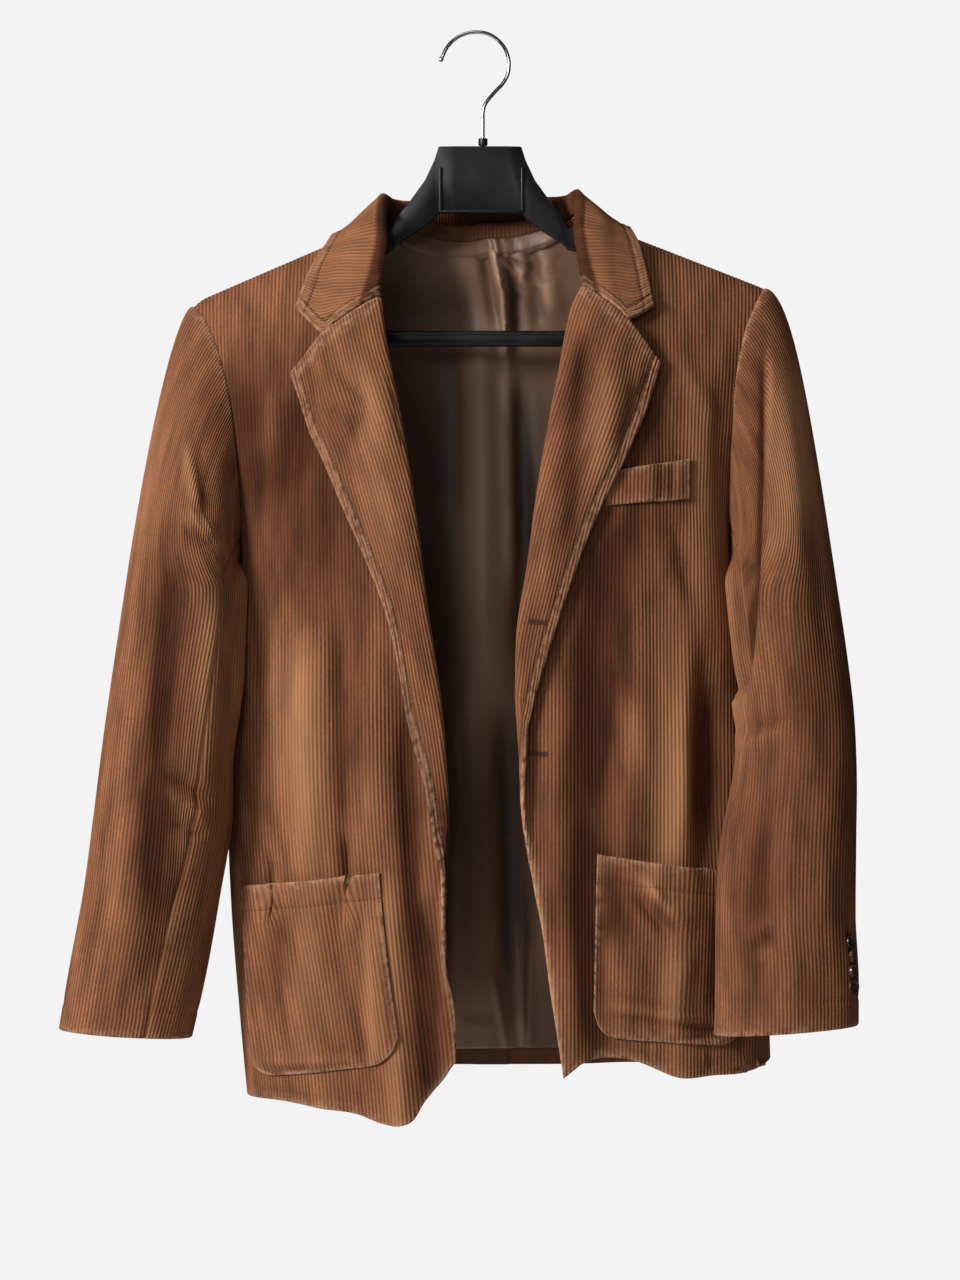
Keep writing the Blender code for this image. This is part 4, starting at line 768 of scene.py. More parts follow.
def cloth_wall(name, points, normals, counted, edges, thickness=CLOTH, ribs=RIB, step=STEP, merged=MERGED,
               short=None, stitched=None, relief=None, under=0.0, faced=None, lightness=0.0):
    """A closed wall of cloth whose columns follow its wales.

    counted is the distance across the wales at each point of the grid, rising along its rows.
    edges says how the low, high, top and bottom edges are finished.  short is (row, column): the
    rows above that row end at that column.  stitched is how far in from its folded edges the
    cloth is stitched, relief(points, down) lifts its face, and under widens the hidden side at
    folded edges to meet the layer behind.  faced gives both sides one material.  lightness is the
    painted light and shade at each point of the grid, from -1, dark, to 1, light.
    """
    arc, down, rows = row_arcs(points), down_arc(points), len(points)
    start, end, length = counted[:, 0], counted[:, -1].copy(), arc[:, -1].copy()
    if short:
        turn_row, column = short
        end[:turn_row], length[:turn_row] = counted[:turn_row, column], arc[:turn_row, column]
    counts = np.arange(math.floor(start.min() / step) - 1, math.ceil(end.max() / step) + 2)
    low = np.argmax(counts * step > start[:, None], axis=1) - 1
    high = np.argmax(counts * step >= end[:, None], axis=1)
    above_high = high.copy()
    across = np.clip(counts * step, start[:, None], end[:, None])
    if short:
        cut = counted[turn_row, column]
        corner = int(np.argmax(counts * step >= cut))
        across[turn_row, corner] = cut
        above_high[turn_row] = corner
    lightness = np.broadcast_to(lightness, arc.shape)
    middle, normal, from_low, lightness = (rows_at(across, counted, grid) for grid in (points, normals, arc, lightness))
    normal = unit(normal)

    width = len(counts)
    from_high = length[:, None] - from_low
    from_top = np.repeat(down[:, None], width, 1)
    from_bottom = down[-1] - from_top
    if short:
        past = (across > cut - 1e-6) & (np.arange(rows)[:, None] >= turn_row)
        from_top = np.where(past, from_top - down[turn_row], from_top)
    distances = dict(low=from_low, high=from_high, top=from_top, bottom=from_bottom)
    dip, soft, wear, inward, rounded, lightness = edge_looks(edges, distances, stitched, lightness)
    pile = np.array(ribs)[np.mod(counts, len(ribs))]
    for distance in (from_low, from_high):
        pile = pile * np.minimum(1, distance / PILE_RISE)
    face = thickness / 2 * rounded + pile * rounded + soft
    if relief:
        middle = middle + normal * relief(middle, down[:, None])[..., None]
    middle = middle - normal * dip[..., None]
    outer = middle + normal * face[..., None]
    inner = middle - normal * (thickness / 2 + under * inward)[..., None]

    columns = np.arange(width)
    first, last = low[:, None], high[:, None]
    held = np.clip(columns, first, last)
    coarse = np.clip((np.round(held / merged) * merged).astype(int), first + 1, last - 1)
    coarse = np.where(held <= first, first, np.where(held >= last, last, coarse))
    if short:
        coarse[turn_row, corner] = corner
    faces = []
    for r in range(rows - 1):
        upper = r * width + np.clip(columns, low[r], high[r])
        lower = (r + 1) * width + np.clip(columns, low[r + 1], above_high[r + 1])
        for a, d, c, b in zip(upper[:-1], lower[:-1], lower[1:], upper[1:]):
            faces += polygon(a, d, c, b)
    # The plain side has the same faces with its columns merged, and rims join the two sides.
    behind = rows * width + (np.arange(rows)[:, None] * width + coarse).ravel()
    used_edges = {(f[k], f[(k + 1) % len(f)]) for f in faces for k in range(len(f))}
    walls = [wall for f in faces for wall in polygon(*behind[list(reversed(f))])]
    rims = [rim for a, b in sorted(used_edges) if (b, a) not in used_edges
            for rim in polygon(b, a, behind[a], behind[b])]
    span = np.stack([across, np.repeat(down[:, None], width, 1)], -1).reshape(-1, 2) * METRES
    piece = make_piece(name, np.concatenate([outer.reshape(-1, 3), inner.reshape(-1, 3)]), faces + rims + walls,
                       np.concatenate([span, span]),
                       {"wear": np.tile(wear.ravel(), 2), "lightness": np.tile(lightness.ravel(), 2)}, len(walls),
                       (faced, faced) if faced else (PILE_FACE, WOVEN_BACK))
    return piece


def linked(name, data):
    thing = bpy.data.objects.new(name, data)
    bpy.context.scene.collection.objects.link(thing)
    return thing


def mesh_object(name, points, faces, materials):
    """A new object from points in millimetres."""
    mesh = bpy.data.meshes.new(name)
    mesh.from_pydata((points * METRES).tolist(), [], faces)
    for material in materials:
        mesh.materials.append(material)
    mesh.update()
    return linked(name, mesh)


def make_piece(name, points, faces, span, values, plain_faces, materials):
    used = np.unique(np.concatenate([np.array(face) for face in faces]))
    place = np.zeros(len(points), int)
    place[used] = np.arange(len(used))
    piece = mesh_object(name + "_cloth", points[used], [tuple(place[list(face)]) for face in faces], materials)
    mesh = piece.data
    corners = np.zeros(len(mesh.loops), int)
    mesh.loops.foreach_get("vertex_index", corners)
    mesh.uv_layers.new(name="cloth").data.foreach_set("uv", span[used][corners].astype(np.float32).ravel())
    for kind, amount in values.items():
        mesh.attributes.new(kind, "FLOAT", "POINT").data.foreach_set("value", amount[used].astype(np.float32))
    kinds = np.zeros(len(mesh.polygons), np.int32)
    kinds[len(faces) - plain_faces:] = 1
    mesh.polygons.foreach_set("material_index", kinds)
    face_outwards(mesh)
    mesh.set_sharp_from_angle(angle=math.radians(82))
    return piece


def face_outwards(mesh):
    """Turns a closed mesh's faces outwards and shades them smooth."""
    mesh.calc_loop_triangles()
    points = np.empty(len(mesh.vertices) * 3)
    mesh.vertices.foreach_get("co", points)
    corners = np.empty(len(mesh.loop_triangles) * 3, int)
    mesh.loop_triangles.foreach_get("vertices", corners)
    a, b, c = points.reshape(-1, 3)[corners.reshape(-1, 3)].swapaxes(0, 1)
    if np.einsum("ij,ij->i", a, np.cross(b, c)).sum() < 0:
        mesh.flip_normals()
    mesh.shade_smooth()


def inset(points, here, near, distance):
    """Draw one column of a grid in towards another by a distance."""
    points[:, here] += unit(points[:, near] - points[:, here]) * distance


def finish_cloth(piece, stands_for_node=True):
    """Hands over a cloth piece, which has the name of the node that it stands for."""
    carry(piece, [piece.name.removesuffix("_cloth")] if stands_for_node else [])


# ---------------------------------------------------------------- fronts and lapels
GORGE_SHARE = 0.0915   # share of the length where the collar ends and the lapel starts
GORGE_ROWS = 14
LOWER_ROWS = 76
PANEL_COLUMNS = 72
FACING_FIRST = 54      # the facing covers the panel from this column on
ROLL_COLUMNS = 12
INNER_FLAP, OUTER_FLAP = 20, 14
HEM_ROWS = (3.2, 1.6, 0.6)         # rows close to the hem, up from it
NOTCH_ROWS = (0.8, 2.4, 4.6, 6.6)  # rows close to the lapel's upper edge, down from it
LAPEL_STITCH = 8.5
ARC_STEPS = 160        # points along a row from which its length is measured
NOTCH_REACH = 0.06     # share of the lapel's length over which its raised upper edge evens out
LAPEL_SWELL, LAPEL_DROOP = 5.0, 0.3    # rise of its middle, and fall of its edge
LAPEL_WIDE = 60.0      # a narrower lapel rises and falls less


def body_rows():
    gorge = float(row_angle(GORGE_SHARE))
    rows = np.concatenate([np.linspace(0, gorge, GORGE_ROWS + 1)[:-1],
                           np.linspace(gorge, LAST_ROW, LOWER_ROWS + 1)])
    millimetre = 1 / (NOMINAL_LENGTH * SHOULDER_SHARE)
    close = LAST_ROW - np.array(HEM_ROWS) * millimetre
    return np.sort(np.concatenate([rows, close, gorge + np.array(NOTCH_ROWS) * millimetre]))


def turn_at(side, height):
    """How far the front is turned back, from 1 above the break to 0 below it."""
    return np.clip((height - (LAPEL[side]["break"] - BREAK_BLEND)) / (2 * BREAK_BLEND), 0, 1)


def panel_inner(side, share):
    """Distance out and height of the inner end of each of the front panel's rows."""
    lapel = LAPEL[side]
    neck_end = NECK_HALF + 1
    neck = neck_end + (lapel["gorge"][0] + LAPEL_START - neck_end) * share / GORGE_SHARE
    out = np.full(share.shape, 60.0)
    for _ in range(8):
        top = shoulder_height(side, out)
        height = top + share * (hem_height(side, out, True) - top)
        flat = read(FRONT_EDGE[side], height) + math.pi * ROLL_RADIUS + TURNED_STRIP + LAID / 2
        turned = turn_at(side, height)
        below = (read(lapel["roll"], height) + LAPEL_START) * turned + flat * (1 - turned)
        out = np.where(share < GORGE_SHARE - 1e-9, neck, below)
    return out, height


def armhole_angle(side, share, front, allowance=0.0):
    return angle_at(side, read(ARMHOLE[side], share) + allowance, share, front)


def outer_angle(side, share, front):
    """Outer end of each row: the allowance under the sleeve, and below it the side seam."""
    allowance = ARMHOLE_ALLOWANCE * ease((ARMHOLE_END - share) / 0.08)
    return np.where(share < ARMHOLE_END, armhole_angle(side, share, front, allowance), 0.0)


def spread(side, row, start, end, count):
    """Angles round the body, evenly spaced along the cloth from start to end of each row."""
    around = start[:, None] + (end - start)[:, None] * np.linspace(0, 1, ARC_STEPS)
    length = row_arcs(body_plain(side, around, np.repeat(row[:, None], around.shape[1], 1)))
    return rows_at(np.linspace(0, 1, count + 1) * length[:, -1:], length, around)


def lapel_surface(side, height, share_across, form=body):
    """Lapel of the turned front: from the roll (0) to the outer edge (1)."""
    lapel = LAPEL[side]
    gorge_height, notch = lapel["gorge"][1], lapel["notch"]
    down = np.clip((gorge_height - height) / (gorge_height - lapel["break"]), 0, 1)
    roll = read(lapel["roll"], height) + LAPEL_START
    tip_height = lapel["edge"]["height"][-1]
    edge_height = tip_height + (lapel["break"] - tip_height) * down
    edge = np.maximum(read(lapel["edge"], edge_height), roll + TURNED_STRIP)
    out = roll + (edge - roll) * share_across
    peak = np.where(share_across < notch, share_across / notch, (1 - share_across) / (1 - notch))
    place = height + (edge_height - height) * share_across
    place = place + lapel["notch_rise"] * peak * np.exp(-down / NOTCH_REACH)
    wide = ease((edge - roll) / LAPEL_WIDE)
    lift = 2 * ROLL_RADIUS + wide * (LAPEL_SWELL * np.sin(math.pi * share_across ** 0.8)
                                     - LAPEL_DROOP * share_across)
    if form is body:
        lift = lift + wide * lapel_waves(side, share_across, place, edge - roll)
    return on_body(side, out, share_at(side, out, place), np.array(True), lift, form)


# Soft folds of the lapels: half width, height, and the fold's path as heights and shares across.
LAPEL_FOLDS = {
    RIGHT: ((6, -3.2, table("height across", (-274, .5), (-310, .36), (-346, .72), (-372, .55))),
            (5, -2.2, table("height across", (-262, .8), (-282, .74), (-300, .7))),
            (9, 2.6, table("height across", (-270, .1), (-300, .12), (-350, .2))),
            (8, 2.2, table("height across", (-360, .3), (-410, .35), (-450, .3))),
            (7, -2.0, table("height across", (-430, .7), (-465, .6), (-500, .5)))),
    LEFT: ((8, -4.2, table("height across", (-240, .2), (-316, .29), (-363, .42), (-402, .66), (-430, .8))),
           (8, 3.2, table("height across", (-262, .45), (-324, .66), (-371, .88))),
           (5, -2.4, table("height across", (-280, .78), (-324, .86), (-345, .86))),
           (6, 2.0, table("height across", (-400, .2), (-440, .4), (-470, .5))),
           (4, -2.2, table("height across", (-462, .1), (-474, .45), (-480, .9)))),
}


def lapel_waves(side, across, height, wide):
    """Height of the lapel's folds at a share across it, where it is so wide."""
    total = np.zeros(np.broadcast(across, height).shape)
    for width, lift, path in LAPEL_FOLDS[side]:
        top, low = path["height"][0], path["height"][-1]
        along = (top - height) / (top - low)
        total = total + (lift * groove((across - read(path, height)) * wide, 0, width)
                         * ease(along / 0.25) * ease((1 - along) / 0.25))
    return total


def lapel_heights(points, smooth):
    """How far the folds lift each point of the facing."""
    lift = np.linalg.norm(points - smooth, axis=-1) * np.sign(smooth[..., 1] - points[..., 1])
    return lift[:, FACING_FIRST:]


def flap_shares(side):
    """Shares across the lapel, with one at the notch."""
    notch = LAPEL[side]["notch"]
    return np.concatenate([np.linspace(0, notch, INNER_FLAP + 1)[1:],
                           np.linspace(notch, 1, OUTER_FLAP + 1)[1:]])


def front_grid(side, form=body):
    """Middle of the front: panel, roll and lapel, with its normals."""
    rows = body_rows()
    share = row_share(rows)
    inner_out, inner_height = panel_inner(side, share)
    around = spread(side, rows, outer_angle(side, share, True), angle_at(side, inner_out, share, True),
                    PANEL_COLUMNS)
    grid_rows = np.repeat(rows[:, None], PANEL_COLUMNS + 1, 1)
    panel, exact = form(side, around, grid_rows), plain_normal(side, around, grid_rows)

    last, up = panel[:, -1], exact[:, -1]
    inward = panel[:, -1] - panel[:, -2]
    inward = unit(inward - np.einsum("ij,ij->i", inward, up)[:, None] * up)
    turned = turn_at(side, inner_height)
    fold = np.maximum(turned * math.pi, 1e-3)[:, None]
    radius = math.pi * ROLL_RADIUS / fold
    bends = [last + up * radius * (1 - np.cos(bend)) + inward * radius * np.sin(bend)
             for bend in (fold * k / ROLL_COLUMNS for k in range(1, ROLL_COLUMNS + 1))]
    past = inward * np.cos(fold) + up * np.sin(fold)
    weight = ease((turned - 0.55) / 0.4)[:, None]
    flaps = [lapel_surface(side, inner_height, np.full(inner_height.shape, across), form) * weight
             + (bends[-1] + past * TURNED_STRIP * across) * (1 - weight) for across in flap_shares(side)]
    points = np.concatenate([panel, np.stack(bends + flaps, 1)], 1)
    normals = outwards(grid_normals(points), exact)
    own = grid_normals(panel)[:GORGE_ROWS]
    own *= np.sign(np.einsum("ijk,ijk->ij", own, exact[:GORGE_ROWS]))[..., None]
    normals[:GORGE_ROWS, :PANEL_COLUMNS + 1] = own
    normals[0, :PANEL_COLUMNS + 1] = exact[0]
    normals[:, 0] = exact[:, 0]
    return points, normals


def outwards(normals, exact):
    """Normals turned to the side of the exact ones beside them."""
    return normals * np.sign(np.einsum("ijk,ijk->", normals[:, :3], exact[:, :3]))


# Where the wales of the fronts are counted from: distance out by height.
GRAIN = {
    RIGHT: table("height out", (-900, 122), (-830, 128), (-740, 138), (-640, 147), (-480, 150), (-100, 150)),
    LEFT: table("height out", (-900, 150), (-100, 150)),
}
PLIES = 0.15           # half the space between a front and its facing, closed at the edge
LAPEL_GRAIN = 0.5
ARMHOLE_ALLOWANCE = 8.0            # the body's cloth runs on under the sleeve's edge


CREST_LIGHT, FULL_LIFT = 0.7, 7.0      # painted light on a crest, and the height from which it is full
DARKEST = -1.2         # least value of the painted light and shade
# Patches of painted light and shade: line of each patch as it hangs, half width, and how (-1 dark, 1 light).
PATCH_COLUMNS = "out_top z_top out_low z_low width tone"
PATCHES = {
    "front_right": table(
        PATCH_COLUMNS, (190, -250, 194, -420, 14, -.6), (140, -470, 134, -700, 14, .4),
        (111, -470, 106, -650, 7, -.5), (60, -520, 52, -740, 8, -.9), (46, -690, 40, -860, 13, -1),
        (136, -230, 124, -490, 62, -.8), (222, -260, 214, -420, 8, -.4), (94, -470, 90, -610, 9, -.8),
        (168, -480, 166, -620, 12, .3),
        (190, -480, 186, -640, 8, -.3), (69, -660, 60, -840, 4, .5), (120, -846, 180, -842, 8, -.3)),
    "facing_right": table(
        PATCH_COLUMNS, (52, -560, 28, -700, 10, -.5), (30, -600, 28, -730, 14, -1.1),
        (100, -250, 70, -420, 14, .35), (118, -300, 96, -330, 8, -.5)),
    "front_left": table(
        PATCH_COLUMNS, (177, -520, 178, -650, 7, -.5), (200, -440, 205, -700, 10, -.3),
        (94, -380, 90, -600, 18, -.6),
        (116, -450, 118, -550, 9, -1.0), (119, -575, 124, -680, 8, -.9), (150, -440, 153, -680, 16, .45),
        (60, -560, 62, -760, 18, -.45),
        (80, -630, 88, -825, 12, -.7), (38, -640, 62, -835, 4.5, 1.1), (84, -400, 84, -860, 26, -.5),
        (110, -380, 112, -470, 18, -.7), (128, -230, 126, -420, 18, -.6), (174, -290, 176, -480, 14, .75),
        (140, -815, 190, -825, 12, -.2)),
    "facing_left": table(
        PATCH_COLUMNS, (80, -240, 70, -330, 9, -.7), (76, -330, 66, -440, 9, -.5),
        (104, -280, 90, -400, 10, .4), (52, -480, 36, -590, 10, -.5)),
    "top_sleeve_right": table(
        PATCH_COLUMNS, (240, -400, 250, -600, 13, -.75), (206, -440, 208, -610, 12, .9),
        (210, -280, 214, -345, 12, -.4), (248, -590, 254, -700, 14, -.9),
        (252, -560, 270, -760, 18, -.35), (226, -640, 244, -790, 10, -.2), (258, -280, 275, -420, 18, .35),
        (232, -330, 221, -392, 4, .6), (234, -388, 208, -404, 4, .6)),
    "top_sleeve_left": table(
        PATCH_COLUMNS, (225, -250, 219, -450, 3, -1.0), (219, -440, 200, -560, 3, -1.0),
        (250, -420, 250, -790, 50, -.4), (212, -290, 208, -520, 9, -.15), (246, -262, 252, -410, 16, 1.0),
        (215, -735, 226, -725, 8, .45), (284, -400, 290, -700, 10, -.35), (214, -600, 206, -780, 14, -.3)),
    "under_sleeve_left": table(PATCH_COLUMNS, (203, -380, 200, -520, 8, -.2), (195, -600, 188, -780, 10, -.3)),
    "pocket_right": table(
        PATCH_COLUMNS, (90, -690, 84, -830, 7, .4), (160, -700, 160, -800, 14, -.25),
        (78, -690, 66, -830, 4, -.7),
        (120, -700, 110, -800, 14, .15), (170, -826, 100, -822, 4, -.4)),
    "pocket_left": table(
        PATCH_COLUMNS, (192, -680, 196, -800, 7, -.6), (104, -660, 106, -730, 14, -.7),
        (110, -690, 110, -800, 24, -.25), (134, -674, 160, -706, 4, .5),
        (128, -684, 156, -718, 4, -.7), (92, -690, 90, -790, 6, -.4), (150, -786, 204, -796, 9, -.5)),
}


def soft_lines(rows, out, height):
    """Sum of soft-edged lines: a row has its line's two ends, half width and value."""
    total = np.zeros(out.shape)
    for out_top, z_top, out_low, z_low, width, value in zip(*rows.values()):
        wide, tall = out_low - out_top, z_low - z_top
        long = math.hypot(wide, tall)
        share = ((out - out_top) * wide + (height - z_top) * tall) / long ** 2
        off = ((out - out_top) * tall - (height - z_top) * wide) / long
        total = total + (value * groove(off, 0, width) * ease((share + 0.1) / 0.4) * ease((1.1 - share) / 0.4))
    return total


def painted_light_and_shade(name, points, lifted=0.0):
    """Painted light and shade on a piece: light on its crests, shade in its troughs, and its patches."""
    total = CREST_LIGHT * np.tanh(lifted / FULL_LIFT)
    if name in PATCHES:
        total = total + soft_lines(PATCHES[name], np.abs(points[..., 0]), points[..., 2])
    return np.clip(total, DARKEST, 1)


def make_front(side):
    name = SIDE_NAMES[side]
    points, normals = FRONTS[side]
    smooth, smooth_normals = front_grid(side, body_plain)      # the wales are counted without the folds
    panel, level = smooth[:, :PANEL_COLUMNS + 1], row_arcs(smooth, True)
    zero = crossing(np.abs(panel[..., 0]), level[:, :PANEL_COLUMNS + 1],
                    read(GRAIN[side], panel[..., 2].mean(1)))
    lifted = fold_height(side, np.abs(points[..., 0]), points[..., 2], True)
    front = cloth_wall("front_" + name, points, normals, level - zero[:, None],
                       dict(low=BODY_SIDE_EDGE, high=FOLDED, top=SEWN, bottom=FOLDED),
                       short=(GORGE_ROWS, PANEL_COLUMNS), under=PLIES,
                       lightness=painted_light_and_shade("front_" + name, points, lifted))

    flap = slice(FACING_FIRST, None)
    roll = PANEL_COLUMNS - FACING_FIRST
    facing_points = points[:, flap] - normals[:, flap] * LAID
    arc = row_arcs(smooth[:, flap] - smooth_normals[:, flap] * LAID)
    # The lapel's wales lie between the line of its roll and that of its edge.
    zero = LAPEL_GRAIN * arc[:, roll] + (1 - LAPEL_GRAIN) * arc[:, -1]
    zero[:GORGE_ROWS] = zero[GORGE_ROWS]
    facing = cloth_wall("facing_" + name, facing_points, -normals[:, flap], arc - zero[:, None],
                        {**ALL_FOLDED, "low": FREE}, short=(GORGE_ROWS, roll), under=PLIES,
                        stitched=LAPEL_STITCH,
                        lightness=painted_light_and_shade("facing_" + name, facing_points, lapel_heights(points, smooth)))

    inside, inside_normals = lining_grid(points[:, :FACING_FIRST + 1], normals[:, :FACING_FIRST + 1])
    inset(inside, -1, -2, SEAM + CLOTH)
    inset(inside, 0, 1, SEAM)
    return front, facing, lining_wall("lining_front_" + name, inside, inside_normals)


# ---------------------------------------------------------------- linings
def lining_grid(points, normals):
    """The shell's points moved in: close at the edges, looser between them."""
    down = np.linspace(0, 1, points.shape[0])[:, None]
    across = np.linspace(0, 1, points.shape[1])
    loose = LINING_EASE * np.minimum(1, 6 * np.minimum(across, 1 - across)) * np.minimum(1, 0.7 + 8 * down)
    inside = shorten(points - normals * (LINED + loose)[..., None], LINING_HEM)
    inside[0] += (inside[1] - inside[0]) * 0.05
    return inside, normals


def shorten(points, distance):
    """Every column drawn up evenly, so that the grid ends that much sooner."""
    columns = points.swapaxes(0, 1)
    arc = row_arcs(columns)
    return rows_at(arc * (1 - distance / arc[:, -1:]), arc, columns).swapaxes(0, 1)


def lining_wall(name, points, normals, step=2.4, lightness=0.0):
    edges = dict(low=FREE, high=FREE, top=FREE, bottom=FOLDED)
    return cloth_wall(name, points, -normals, row_arcs(points), edges, thickness=LINING, ribs=(0.0,), step=step,
                      merged=3, faced=SATIN, lightness=lightness)


# ---------------------------------------------------------------- backs
SHOULDER_COLUMNS = 48
NECK_COLUMNS = 28
VENT_TOP = -640.0
VENT_UNDER = 19.0      # how far the lower side of the vent runs on under the other
VENT_BEND = 9.0        # width over which it bends in under the other


def back_grid(side, form=body):
    rows = body_rows()
    share = row_share(rows)
    neck = angle_at(side, NECK_HALF + 1, share, False)
    start, end = outer_angle(side, share, False), np.full(share.shape, -math.pi / 2 + 1e-3)
    around = np.concatenate([spread(side, rows, start, neck, SHOULDER_COLUMNS)[:, :-1],
                             spread(side, rows, neck, end, NECK_COLUMNS)], 1)
    grid_rows = np.repeat(rows[:, None], around.shape[1], 1)
    points = form(side, around, grid_rows)
    exact = plain_normal(side, around, grid_rows)
    normals = grid_normals(points)
    if np.einsum("ijk,ijk->", normals, exact) < 0:
        normals = -normals
    normals[0], normals[:, 0] = exact[0], exact[:, 0]
    return points, normals


def join_backs():
    """Both back grids, given the same points down the centre seam."""
    grids = {side: back_grid(side) for side in (RIGHT, LEFT)}
    middle, normal = (sum(grid[:, -1] for grid in pair) for pair in zip(*grids.values()))
    middle[:, 0], normal[:, 0] = 0, 0
    for points, normals in grids.values():
        points[:, -1] = middle / 2
        normals[:, -1] = unit(normal)
    return grids


def make_backs():
    left, left_normals = BACKS[LEFT]
    vent_row = int(np.argmax(left[:, -1, 2] < VENT_TOP))
    opened = ease((np.arange(len(left)) - vent_row + 1) / 3)
    made = []
    for side, (points, normals) in BACKS.items():
        centre, short, centre_seam = points.shape[1] - 1, None, 1 - opened
        if side == RIGHT:
            # Below the vent's top this panel runs on under the other one.
            reach = int(np.argmax(row_arcs(left[:, ::-1])[-1] > VENT_UNDER)) + 1
            level = row_arcs(points, True)
            tucked = opened[:, None] * LAID * ease(1 - (level[:, -1:] - level) / VENT_BEND)
            under = slice(-2, -2 - reach, -1)
            points = np.concatenate([points - normals * tucked[..., None],
                                     left[:, under] - left_normals[:, under] * LAID], 1)
            normals = np.concatenate([normals, left_normals[:, under]], 1)
            short, centre_seam = (vent_row, centre), np.zeros(len(left))
        level = row_arcs(points, True)
        made.append(cloth_wall("back_" + SIDE_NAMES[side], points, normals, level - level[:, centre:centre + 1],
                               dict(low=BODY_SIDE_EDGE, high=(centre_seam, opened), top=SEWN, bottom=FOLDED),
                               short=short))
    return made


def make_back_lining():
    points, normals = (np.concatenate([right, left[:, -2::-1]], 1) for right, left in zip(*BACKS.values()))
    inside, inside_normals = lining_grid(points, normals)
    pleat = PLEAT * groove(points[..., 0], 0, PLEAT_WIDTH) * ease(np.arange(len(points)) / 8)[:, None]
    pleat = pleat + lining_folds(points[..., 0], points[..., 2])
    pleat = np.where(pleat < 0, LINING_ROOM * np.tanh(pleat / LINING_ROOM), pleat)
    inside -= inside_normals * pleat[..., None]
    inset(inside, 0, 1, SEAM)
    inset(inside, -1, -2, SEAM)
    # Painted sheen on the lining's ridges and painted shade in its hollows.
    lightness = np.clip((pleat - 1.5) / 6, -1, 1) + soft_lines(LINING_SHINE, points[..., 0], points[..., 2])
    return lining_wall("lining_back", inside, inside_normals, 1.5, lightness)


# Folds of the lining behind the neck and down the back: place of each end, half width, lift inwards.
LINING_FOLDS = table(
    "x_top z_top x_low z_low width lift",
    (10, -164, 19, -210, 3.6, 7.5), (18, -190, 23, -276, 3.8, 7.0), (22, -258, 27, -480, 6, 5.0),
    (3, -168, 13, -240, 5, -5.0), (0, -196, 4, -560, 12, 8.0), (27, -166, 31, -262, 6, -5.0),
    (13, -172, 42, -182, 3.0, 3.0), (15, -176, 40, -202, 3.2, 3.0), (30, -168, 37, -212, 6, 3.0),
    (52, -168, 58, -232, 8, 4.0), (43, -168, 47, -245, 6, -3.5),
    (32, -260, 36, -560, 8, -6.0), (-30, -180, -26, -420, 20, -5.0), (-8, -520, -2, -860, 14, 7.0),
    (20, -540, 30, -860, 10, -6.0), (-45, -400, -34, -860, 16, -6.0), (60, -300, 66, -860, 13, 5.0),
    (45, -500, 52, -800, 7, 4.0), (34, -690, 33, -880, 4, -5.0), (-24, -640, -18, -870, 7, 4.0),
    (30, -725, 33, -850, 2.6, 5.0), (10, -770, 24, -850, 3, 3.0), (41, -740, 38, -850, 4, 3.0),
    (-22, -802, 10, -806, 2.4, -2.5), (-20, -797, 14, -800, 3, 2.5))


LINING_ROOM = 1.9      # the lining can move out this far before it meets the cloth
# Painted sheen of the lining on its brighter ridges, and painted shade in its duller hollows.
LINING_SHINE = table(
    PATCH_COLUMNS,
    (-50, -180, -40, -250, 30, .1), (4, -190, 8, -250, 7, .45), (12, -160, 20, -206, 2.4, .7),
    (20, -190, 24, -262, 2.4, .7), (14, -186, 18, -250, 2.2, -.7), (27, -170, 30, -250, 4, -.5),
    (36, -168, 42, -215, 7, .2), (56, -170, 60, -235, 6, .4), (45, -170, 48, -235, 4, -.4),
    (0, -250, 4, -480, 12, .35), (24, -270, 27, -480, 5, .25), (-10, -560, -4, -850, 30, -.7),
    (14, -560, 10, -850, 40, -.4), (40, -300, 50, -560, 14, -.5), (-40, -280, -40, -560, 24, -.4),
    (31, -725, 34, -850, 2.8, 1.4), (22, -760, 29, -850, 6, .5), (-18, -808, 14, -811, 1.6, -.6))


def lining_folds(x, height):
    return sum(straight_fold(x, height, ((x_top, z_top), (x_low, z_low)), width, lift, 0.2, 0.3)
               for x_top, z_top, x_low, z_low, width, lift in zip(*LINING_FOLDS.values()))


def on_panel(side, front, out, share, lift):
    """Points of a panel's own faces, at a distance out and a share of the length, moved out."""
    grid = np.concatenate(PANELS[side, bool(front)], -1)
    out, share, lift = np.broadcast_arrays(out, share, lift)
    result = np.empty((*out.shape, 6))
    for place in np.ndindex(out.shape):
        low = int(np.clip(np.searchsorted(PANEL_SHARES, share[place]) - 1, 0, len(PANEL_SHARES) - 2))
        t = (share[place] - PANEL_SHARES[low]) / (PANEL_SHARES[low + 1] - PANEL_SHARES[low])
        across = grid[low] * (1 - t) + grid[low + 1] * t
        across = across[np.argsort(np.abs(across[:, 0]))]
        result[place] = line_at(out[place], np.abs(across[:, 0]), across)
    return result[..., :3] + unit(result[..., 3:]) * lift[..., None]


PANEL_SHARES = row_share(body_rows())
BODY_SIDE_EDGE = (np.where(PANEL_SHARES < ARMHOLE_END, 0.0, 1.0), 0.0)      # sewn below the armhole
FRONTS = {side: front_grid(side) for side in (RIGHT, LEFT)}
BACKS = join_backs()
PANELS = {(side, False): BACKS[side] for side in (RIGHT, LEFT)}
PANELS |= {(side, True): tuple(grid[:, :PANEL_COLUMNS + 1] for grid in FRONTS[side]) for side in (RIGHT, LEFT)}


# ---------------------------------------------------------------- sleeves
SEWN_CLOSE = 0.5       # a sleeve's edge is drawn this far into the body's cloth
FOLD_FADE = 0.35       # share of a sleeve fold's length over which each end fades
SLEEVE_FRONT = (25, 35, 205, 20)       # its first and last angle, each with the turn over which it fades
ARMHOLE_EDGE = (0.6, 1.0)      # a sleeve's top edge is folded and partly sewn down
SLEEVE_RADIUS = 50.0   # turns the angles of a sleeve's folds into distances
CUFF_TILT = 4.0        # how much higher the cuff's outer edge is than its middle


